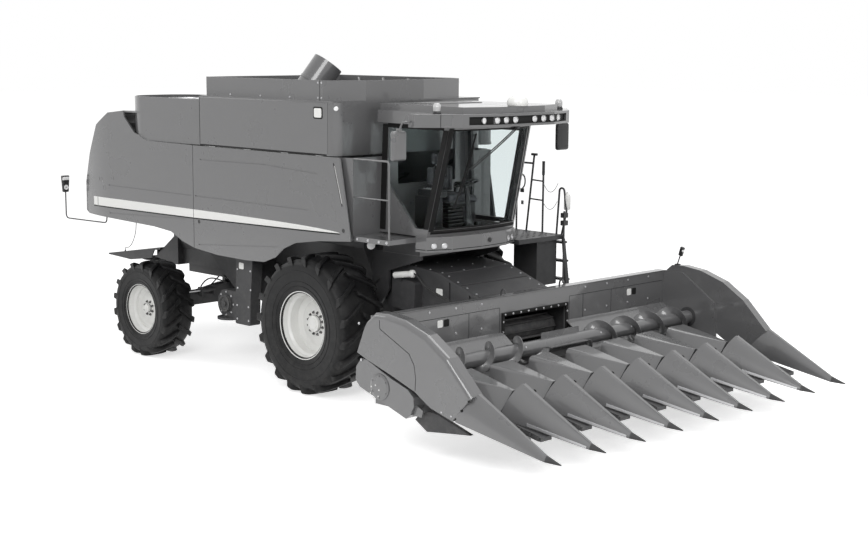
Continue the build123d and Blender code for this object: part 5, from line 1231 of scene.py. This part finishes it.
# hoses of the feeder house: line and radius
FEEDER_HOSES = [
    ([(1.44, -0.93, 1.875), (1.52, -0.93, 1.85), (1.60, -0.90, 1.72), (1.90, -0.86, 1.60),
      (2.40, -0.84, 1.46), (2.72, -0.84, 1.44), (2.84, -0.84, 1.50), (2.86, -0.84, 1.58)], 0.012),
    ([(1.44, -0.90, 1.865), (1.50, -0.89, 1.83), (1.58, -0.86, 1.68), (1.90, -0.83, 1.56),
      (2.40, -0.80, 1.43), (2.70, -0.80, 1.41), (2.82, -0.80, 1.47), (2.85, -0.80, 1.56)], 0.012),
    ([(1.50, 0.74, 1.45), (1.60, 0.78, 1.60), (2.00, 0.79, 1.66), (2.50, 0.79, 1.56), (2.80, 0.79, 1.54),
      (2.87, 0.79, 1.57)], 0.020),
]
ACCUMULATOR = [(0.030, 0), (0.046, 0.012), (0.046, 0.30), (0.036, 0.33), (0.036, 0.35), (0.055, 0.355),
               (0.055, 0.40), (0.03, 0.42)]


def feeder_top(share):
    """Place along the feeder house's sloping top: along the machine and up"""
    return 1.79 + share * 1.10, 1.89 - share * 0.387


def feeder_details():
    """Bolts, plate and hoses on the feeder house and the pale accumulator beside its top"""
    bolts = [(at(x, y, z), (0.08, 0, 1)) for x, z in ((1.20, 1.936), (1.50, 1.913), (1.75, 1.893))
             for y in (-0.66, -0.22, 0.22, 0.66)]
    for x, z in (feeder_top((k + 0.5) / 6) for k in range(6)):
        bolts += [(at(x, y, z), (0.33, 0, 0.94)) for y in (-0.66, 0.66)]
    bolted(0.011, bolts, "feeder_bolts", body="header")
    strips = [slab(1.79, 1.80, -0.715, 0.715, 1.886, 1.8935, 0.002)]
    for x, z in (feeder_top(0.33), feeder_top(0.66)):
        strip = block((-0.022, -0.70, -0.002), (0.022, 0.70, 0.010), 0.003)
        strip.matrix_world = Matrix.Translation(at(x, 0, z)) @ Matrix.Rotation(math.radians(19.3), 4, "Y")
        strips.append(settle(strip))
    fitted(strips, "feeder_top_bars", "chassis", "header")
    fitted(turned(at(1.03, -0.93, 1.81), (1, 0, 0.16), ACCUMULATOR), "feeder_accumulator", "rim", "header")
    fitted(slab(1.08, 1.14, -0.90, -0.86, 1.735, 1.85, 0.006), "accumulator_bracket", "chassis", "header")
    fitted([tube(path(line), radius) for line, radius in FEEDER_HOSES],
           "feeder_hoses", "hose", "header")
    fitted(label(at(1.75, -0.7205, 1.62), 0.13, 0.10, (0, -1, 0)), "feeder_plate_0", "pale", "header")


class HARVESTER_OT_header(bpy.types.Operator):
    """Fit the mouth frame, drum, plates, wear strips, bolts, bearings and lamp of the header"""
    bl_idname = "harvester.header"
    bl_label = "Header"

    def execute(self, context):
        for piece in (mouth, header_sheet, snout_details, end_details, auger_details, header_lamp):
            piece()
        return {"FINISHED"}


class HARVESTER_OT_feeder(bpy.types.Operator):
    """Fit the bolts, bars, accumulator and hoses of the feeder house"""
    bl_idname = "harvester.feeder"
    bl_label = "Feeder house"

    def execute(self, context):
        feeder_details()
        return {"FINISHED"}


# ---- running gear, rails and the rear ------------------------------------------
# axle, hub face's distance from the middle, number of nuts, radius of their circle, radius of the cap
WHEELS = [("front", 1.564, 12, 0.165, 0.150), ("rear", 1.789, 8, 0.110, 0.095)]


def wheel_details():
    """Dark nuts round the hub, ring and cap of the hub, and the valve of each rim"""
    for axle, face, nuts, circle, cap in WHEELS:
        low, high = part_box(f"{axle}_rim_left")
        middle_x, middle_z = (low[0] + high[0]) / 2, (low[2] + high[2]) / 2
        rim_r = (high[0] - low[0]) / 2
        for side, hand in SIDES:
            out, body = (0, side, 0), f"{axle}_wheel_{hand}"

            def spot(radius, angle, depth=0.0):
                return Vector((middle_x + radius * math.cos(angle), side * (face + depth),
                               middle_z + radius * math.sin(angle)))

            places = [(spot(circle, 2 * math.pi * (k + 0.5) / nuts, -0.004), out) for k in range(nuts)]
            bolted(0.0165, places, f"{axle}_wheel_nuts_{hand}", "iron", body, height=0.026)
            ring = [(cap - 0.030, 0), (cap - 0.022, 0.004), (cap - 0.024, 0.010), (cap - 0.040, 0.012)]
            fitted(turned(spot(0, 0), out, ring, 40), f"{axle}_hub_ring_{hand}", "iron", body)
            lid = [(cap - 0.062, 0), (cap - 0.062, 0.004), (cap - 0.072, 0.007), (0.010, 0.009)]
            fitted(turned(spot(0, 0, 0.066), out, lid, 40), f"{axle}_hub_cap_{hand}", "rim", body)
            stem = [spot(rim_r * share, 1.1, depth)
                    for share, depth in ((0.80, -0.02), (0.80, 0.02), (0.82, 0.045))]
            fitted(tube(stem, 0.006), f"{axle}_valve_{hand}", "steel", body)


# hoses under the body: line and radius
UNDER_HOSES = [
    ([(-3.90, -0.60, 1.05), (-3.80, -0.50, 1.20), (-3.55, -0.62, 1.30), (-3.30, -0.70, 1.24)], 0.012),
    ([(-3.90, -0.80, 1.05), (-3.82, -0.78, 1.17), (-3.60, -0.74, 1.24), (-3.30, -0.72, 1.18)], 0.012),
    ([(0.15, -0.85, 1.20), (0.30, -0.88, 1.45), (0.50, -0.86, 1.62), (0.62, -0.84, 1.70)], 0.014),
]
PULLEY_X, PULLEY_Z = -2.44, 1.01
PULLEY = [(0.135, 0), (0.135, 0.012), (0.122, 0.020), (0.122, 0.030), (0.135, 0.038), (0.135, 0.050),
          (0.110, 0.052), (0.100, 0.030), (0.045, 0.030), (0.045, 0.056), (0.010, 0.058)]
BOLT_RING = 0.185                            # radius of the bolts round the pulley


def under_body():
    """Bright sleeve of the steering rod, hoses, plates, bolts and a belt pulley under the body"""
    right = (0, -1, 0)
    fitted(bar([at(-3.85, -0.86, 1.0), at(-3.85, -1.12, 1.0)], 0.0255), "steering_rod_sleeve", "steel")
    fitted([tube(path(line), radius) for line, radius in UNDER_HOSES],
           "under_hoses", "hose")
    fitted(label(at(-2.02, -1.3805, 1.66), 0.12, 0.10, right), "elevator_plate", "pale")
    fitted(label(at(-2.72, -1.0805, 2.30), 0.20, 0.13, right), "shoe_plate", "pale")
    bolts = [(at(x, -1.3805, z), right) for z in (0.80, 1.02, 1.30, 1.60, 1.90, 2.20)
             for x in ((-2.14, -1.85) if z < 1.2 else (-2.12, -1.79))]
    for angle in (2 * math.pi * k / 8 for k in range(8)):
        place = at(PULLEY_X + BOLT_RING * math.cos(angle), -1.3705, PULLEY_Z + BOLT_RING * math.sin(angle))
        bolts.append((place, right))
    bolted(0.011, bolts, "elevator_bolts")
    fitted(turned(at(PULLEY_X, -1.370, PULLEY_Z), right, PULLEY, 40), "elevator_pulley", "iron")


# line of the rear cable, from the right shield to the spreader deck
REAR_CABLE = [(-4.74, -1.500, 2.20), (-4.76, -1.492, 2.09), (-4.86, -1.44, 1.93), (-5.18, -1.29, 1.72),
              (-5.62, -1.08, 1.57), (-5.93, -0.935, 1.535), (-6.035, -0.885, 1.50), (-6.04, -0.880, 1.447)]


def rear_cable():
    """Cable that hangs from the right shield to the spreader deck"""
    points = path(REAR_CABLE)
    exit_at = points[0]
    cable = line_of(points, 0.006, along=12)
    cable.name = cable.data.name = "rear_cable"
    cable.data.materials.append(MATERIALS["hose"])
    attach(cable, "chassis")
    relief = turned(exit_at + Vector((0, 0, 0.03)), points[1] - exit_at,
                    [(0.013, 0), (0.013, 0.02), (0.008, 0.055), (0.0065, 0.06)], 16)
    fitted(relief, "rear_cable_gland", "seal")
    foot = turned(points[-1] + Vector((0, 0, 0.03)), (0, 0, -1),
                  [(0.0065, 0), (0.008, 0.006), (0.014, 0.022), (0.014, 0.031)], 16)
    fitted(foot, "rear_cable_foot", "seal")


LAMP_X, LAMP_Y = -6.860, 1.56                # rear lamp heads
# bent stalk of a rear lamp: along the machine, out and up
LAMP_STALK = [(-5.60, 1.526, 2.16), (-5.60, 1.526, 2.09), (-5.64, 1.526, 2.045), (-5.72, 1.526, 2.040),
              (LAMP_X + 0.14, LAMP_Y, 2.03), (LAMP_X + 0.05, LAMP_Y, 2.03), (LAMP_X, LAMP_Y, 2.07),
              (LAMP_X, LAMP_Y, 2.16), (LAMP_X, LAMP_Y, 2.52)]


def rear_lamps():
    """Lamp heads on their bent stalks behind the body"""
    stalks, heads, lenses = [], [], []
    for s in (1, -1):
        y = s * LAMP_Y
        stalks.append(tube([at(x, s * out, z) for x, out, z in LAMP_STALK], 0.0115))
        head = slab(LAMP_X - 0.030, LAMP_X + 0.030, y - 0.055, y + 0.055, 2.490, 2.785, 0.016, 3)
        with editing(head):
            pick(head, "verts", lambda v: v.co.z > 2.65)
            bpy.ops.transform.resize(value=(1.0, 1.38, 1.0))
        heads.append(head)
        lenses += [turned(at(LAMP_X + way * 0.024, y, 2.575), (way, 0, 0),
                          [(0.045, 0), (0.045, 0.006), (0.036, 0.010), (0.012, 0.006)]) for way in (1, -1)]
        lenses.append(slab(LAMP_X - 0.033, LAMP_X + 0.033, y - 0.070, y + 0.070, 2.70, 2.765, 0.012, 3))
    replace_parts(fitted(stalks + heads, "rear_lamp_stalks", "plastic", smooth=45), "rear_lamp_brackets")
    fitted(lenses, "rear_lamp_lenses", "lens")


# chains across the gaps of the left rails: start, end, sag
CHAINS = [((1.36, 1.95, 3.00), (1.66, 1.95, 3.02), 0.14), ((1.36, 1.95, 2.70), (1.65, 1.95, 2.74), 0.12)]
LAMP_BODY = [(0.045, 0), (0.052, 0.012), (0.052, 0.20), (0.040, 0.235), (0.015, 0.25), (0.015, 0.275)]


def rails():
    """Chains across the gaps of the left rails, non-slip treads, walkway bolts and a lamp body"""
    chains = []
    for start, end, sag in CHAINS:
        line = [at(*start).lerp(at(*end), k / 8) - Vector((0, 0, sag * (1 - (2 * k / 8 - 1) ** 2)))
                for k in range(9)]
        chains.append(tube(line, 0.005, around=1))
    fitted(chains, "rail_chains", "steel")
    ribs = []
    for share in (0, 0.2, 0.4, 0.6, 0.8, 1.0):
        y, z = 1.997 + 0.190 * share, 2.110 - 1.480 * share
        ribs += [slab(1.20, 1.72, y + 0.022 * j, y + 0.022 * j + 0.008, z - 0.001, z + 0.005, 0.0015, 1)
                 for j in range(5)]
    fitted(ribs, "ladder_tread_ribs", "steel", "ladder")
    grip = turned(ORIGIN, UP, [(0.022, 0), (0.022, 0.003), (0.017, 0.004), (0.015, 0.0)], 10)
    places = [at(0.70 + 0.115 * i, 1.02 + 0.14 * j, 2.230) for i in range(9) for j in range(7)]
    fitted(copies(grip, [(place, UP) for place in places]), "platform_grip_rings", "chassis")
    bolted(0.014, [(at(x, -1.4705, 2.365), (0, -1, 0)) for x in (0.82, 1.05, 1.28, 1.44)], "walkway_bolts")
    fitted(turned(at(1.815, 1.99, 2.62), UP, LAMP_BODY), "rail_lamp_body", "rim")


def walkway_pieces():
    """Round work lamp and the small plates on the corner beside the cab, on the right"""
    fitted(turned(at(0.93, -1.30, 2.272), (0.85, -0.45, -0.25),
                  [(0.030, -0.05), (0.058, -0.02), (0.062, 0.012), (0.054, 0.020), (0.012, 0.024)]),
           "walkway_lamp", "lens")
    fitted(slab(0.915, 0.945, -1.32, -1.28, 2.27, 2.335), "walkway_lamp_bracket", "chassis")
    plates = ((0.565, -1.4735, 2.72, 0.035, 0.10), (0.50, -1.488, 2.70, 0.030, 0.09))
    fitted([label(at(x, y, z), width, height, (0.217, -0.976, 0), 0.003) for x, y, z, width, height in plates],
           "corner_plates", "pale")


class HARVESTER_OT_running_gear(bpy.types.Operator):
    """Fit wheel nuts, hub caps, hoses, plates, bolts and a pulley"""
    bl_idname = "harvester.running_gear"
    bl_label = "Running gear"

    def execute(self, context):
        wheel_details()
        under_body()
        return {"FINISHED"}


class HARVESTER_OT_rear(bpy.types.Operator):
    """Hang the rear cable and fit the rear lamps"""
    bl_idname = "harvester.rear"
    bl_label = "Rear"

    def execute(self, context):
        rear_cable()
        rear_lamps()
        return {"FINISHED"}


class HARVESTER_OT_rails(bpy.types.Operator):
    """Fit chains, treads, bolts and lamps on the platforms"""
    bl_idname = "harvester.rails"
    bl_label = "Rails and platforms"

    def execute(self, context):
        rails()
        walkway_pieces()
        return {"FINISHED"}


# ---- stage -----------------------------------------------------------------
def bright_to_the_eye(tree, low, high):
    """Strength that rises where the ray comes from the camera, a gloss or a glass"""
    paths = add(tree, "LightPath").outputs
    seen = combined(tree, "MAXIMUM", paths["Is Camera Ray"], paths["Is Glossy Ray"])
    seen = combined(tree, "MAXIMUM", seen, paths["Is Transmission Ray"])
    return stretched(tree, seen, To_Min=low, To_Max=high)


def floor_paper(tint):
    """Pale paper that shows white to the camera and keeps the shadow"""
    mat = bpy.data.materials.new("floor_paper")
    mat.use_nodes = True
    tree = mat.node_tree
    shader = tree.nodes["Principled BSDF"]
    mottle = add(tree, "TexNoise", Scale=0.6, Detail=3.0)
    tree.links.new(add(tree, "TexCoord").outputs["Object"], mottle.inputs["Vector"])
    spread = stretched(tree, mottle.outputs["Fac"], From_Min=0.3, From_Max=0.7, To_Min=0.85, To_Max=0.95)
    tree.links.new(spread, shader.inputs["Roughness"])
    shader.inputs["Base Color"].default_value = rgba(tint)
    shader.inputs["Specular IOR Level"].default_value = 0.0
    shader.inputs["Emission Color"].default_value = (1, 1, 1, 1)
    tree.links.new(bright_to_the_eye(tree, 0.0, 0.62), shader.inputs["Emission Strength"])
    return mat


# soft lights: name, place, aim, width, height, power
LIGHTS = [
    ("key_softbox", (10, -15, 12), (0, -1, 1.6), 9.0, 6.0, 1300),
    ("top_softbox", (3, 2, 16), (1, 0, 1.0), 12.0, 7.0, 900),
    ("header_softbox", (17, -2, 9), (4, 0, 0.8), 9.0, 3.0, 520),
    ("rear_softbox", (-14, -9, 10), (-2, 0, 2), 9.0, 7.0, 500),
]


class HARVESTER_OT_stage(bpy.types.Operator):
    """Set the floor, the soft studio lights and the camera"""
    bl_idname = "harvester.stage"
    bl_label = "Stage"

    def execute(self, context):
        scene = context.scene
        setup = scene.harvester_stage
        bpy.ops.object.select_all(action="DESELECT")
        bpy.ops.mesh.primitive_plane_add(size=240.0, location=(0, 0, 0))
        floor = context.object
        floor.name = "studio_floor"
        floor.data.materials.append(floor_paper(setup.floor))
        world = bpy.data.worlds.new("studio_air")
        world.use_nodes = True
        tree = world.node_tree
        background = tree.nodes["Background"]
        background.inputs["Color"].default_value = (1, 1, 1, 1)
        tree.links.new(bright_to_the_eye(tree, 0.50, 1.0), background.inputs["Strength"])
        scene.world = world
        for name, place, target, width, height, power in LIGHTS:
            bpy.ops.object.light_add(type="AREA", location=place)
            light = context.object
            light.name = name
            light.data.shape = "RECTANGLE"
            light.data.size = width
            light.data.size_y = height
            light.data.energy = power
            aim = Vector(target) - Vector(place)
            light.rotation_euler = aim.to_track_quat("-Z", "Y").to_euler()
        bpy.ops.object.camera_add(location=setup.eye)
        camera = context.object
        camera.name = "studio_camera"
        camera.data.lens = setup.lens_mm
        camera.data.clip_end = 500.0
        forward = Vector((math.cos(setup.heading) * math.cos(setup.pitch),
                          math.sin(setup.heading) * math.cos(setup.pitch), -math.sin(setup.pitch)))
        level = forward.to_track_quat("-Z", "Y")
        camera.rotation_euler = (Matrix.Rotation(setup.roll, 3, -forward) @ level.to_matrix()).to_euler()
        scene.camera = camera
        scene.view_settings.view_transform = "Standard"
        return {"FINISHED"}


class HARVESTER_PT_panel(bpy.types.Panel):
    """Sidebar panel with the settings and the steps"""
    bl_idname = "HARVESTER_PT_panel"
    bl_label = "Combine Harvester"
    bl_space_type = "VIEW_3D"
    bl_region_type = "UI"
    bl_category = "Harvester"

    def draw(self, context):
        layout = self.layout
        for key in SETTINGS:
            group = getattr(context.scene, key)
            for value in group.__annotations__:
                layout.prop(group, value)
        for step in STEPS:
            layout.operator(step.bl_idname)


SETTINGS = {"harvester_paint": HarvesterPaint, "harvester_trim": HarvesterTrim,
            "harvester_stage": HarvesterStage}
STEPS = (HARVESTER_OT_finishes, HARVESTER_OT_stage, HARVESTER_OT_rear, HARVESTER_OT_tyres,
         HARVESTER_OT_running_gear, HARVESTER_OT_stripes, HARVESTER_OT_body, HARVESTER_OT_seat,
         HARVESTER_OT_controls, HARVESTER_OT_cab, HARVESTER_OT_header, HARVESTER_OT_feeder, HARVESTER_OT_rails)
CLASSES = (*SETTINGS.values(), *STEPS, HARVESTER_PT_panel)


def register():
    """Add the settings, the steps and the panel"""
    for cls in CLASSES:
        bpy.utils.register_class(cls)
    for key, cls in SETTINGS.items():
        setattr(bpy.types.Scene, key, bpy.props.PointerProperty(type=cls))


def unregister():
    """Take them away again"""
    for key in SETTINGS:
        delattr(bpy.types.Scene, key)
    for cls in reversed(CLASSES):
        bpy.utils.unregister_class(cls)


def main():
    """Register the add-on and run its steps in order"""
    register()
    for step in STEPS:
        area, name = step.bl_idname.split(".")
        getattr(getattr(bpy.ops, area), name)()


if __name__ == "__main__":
    main()
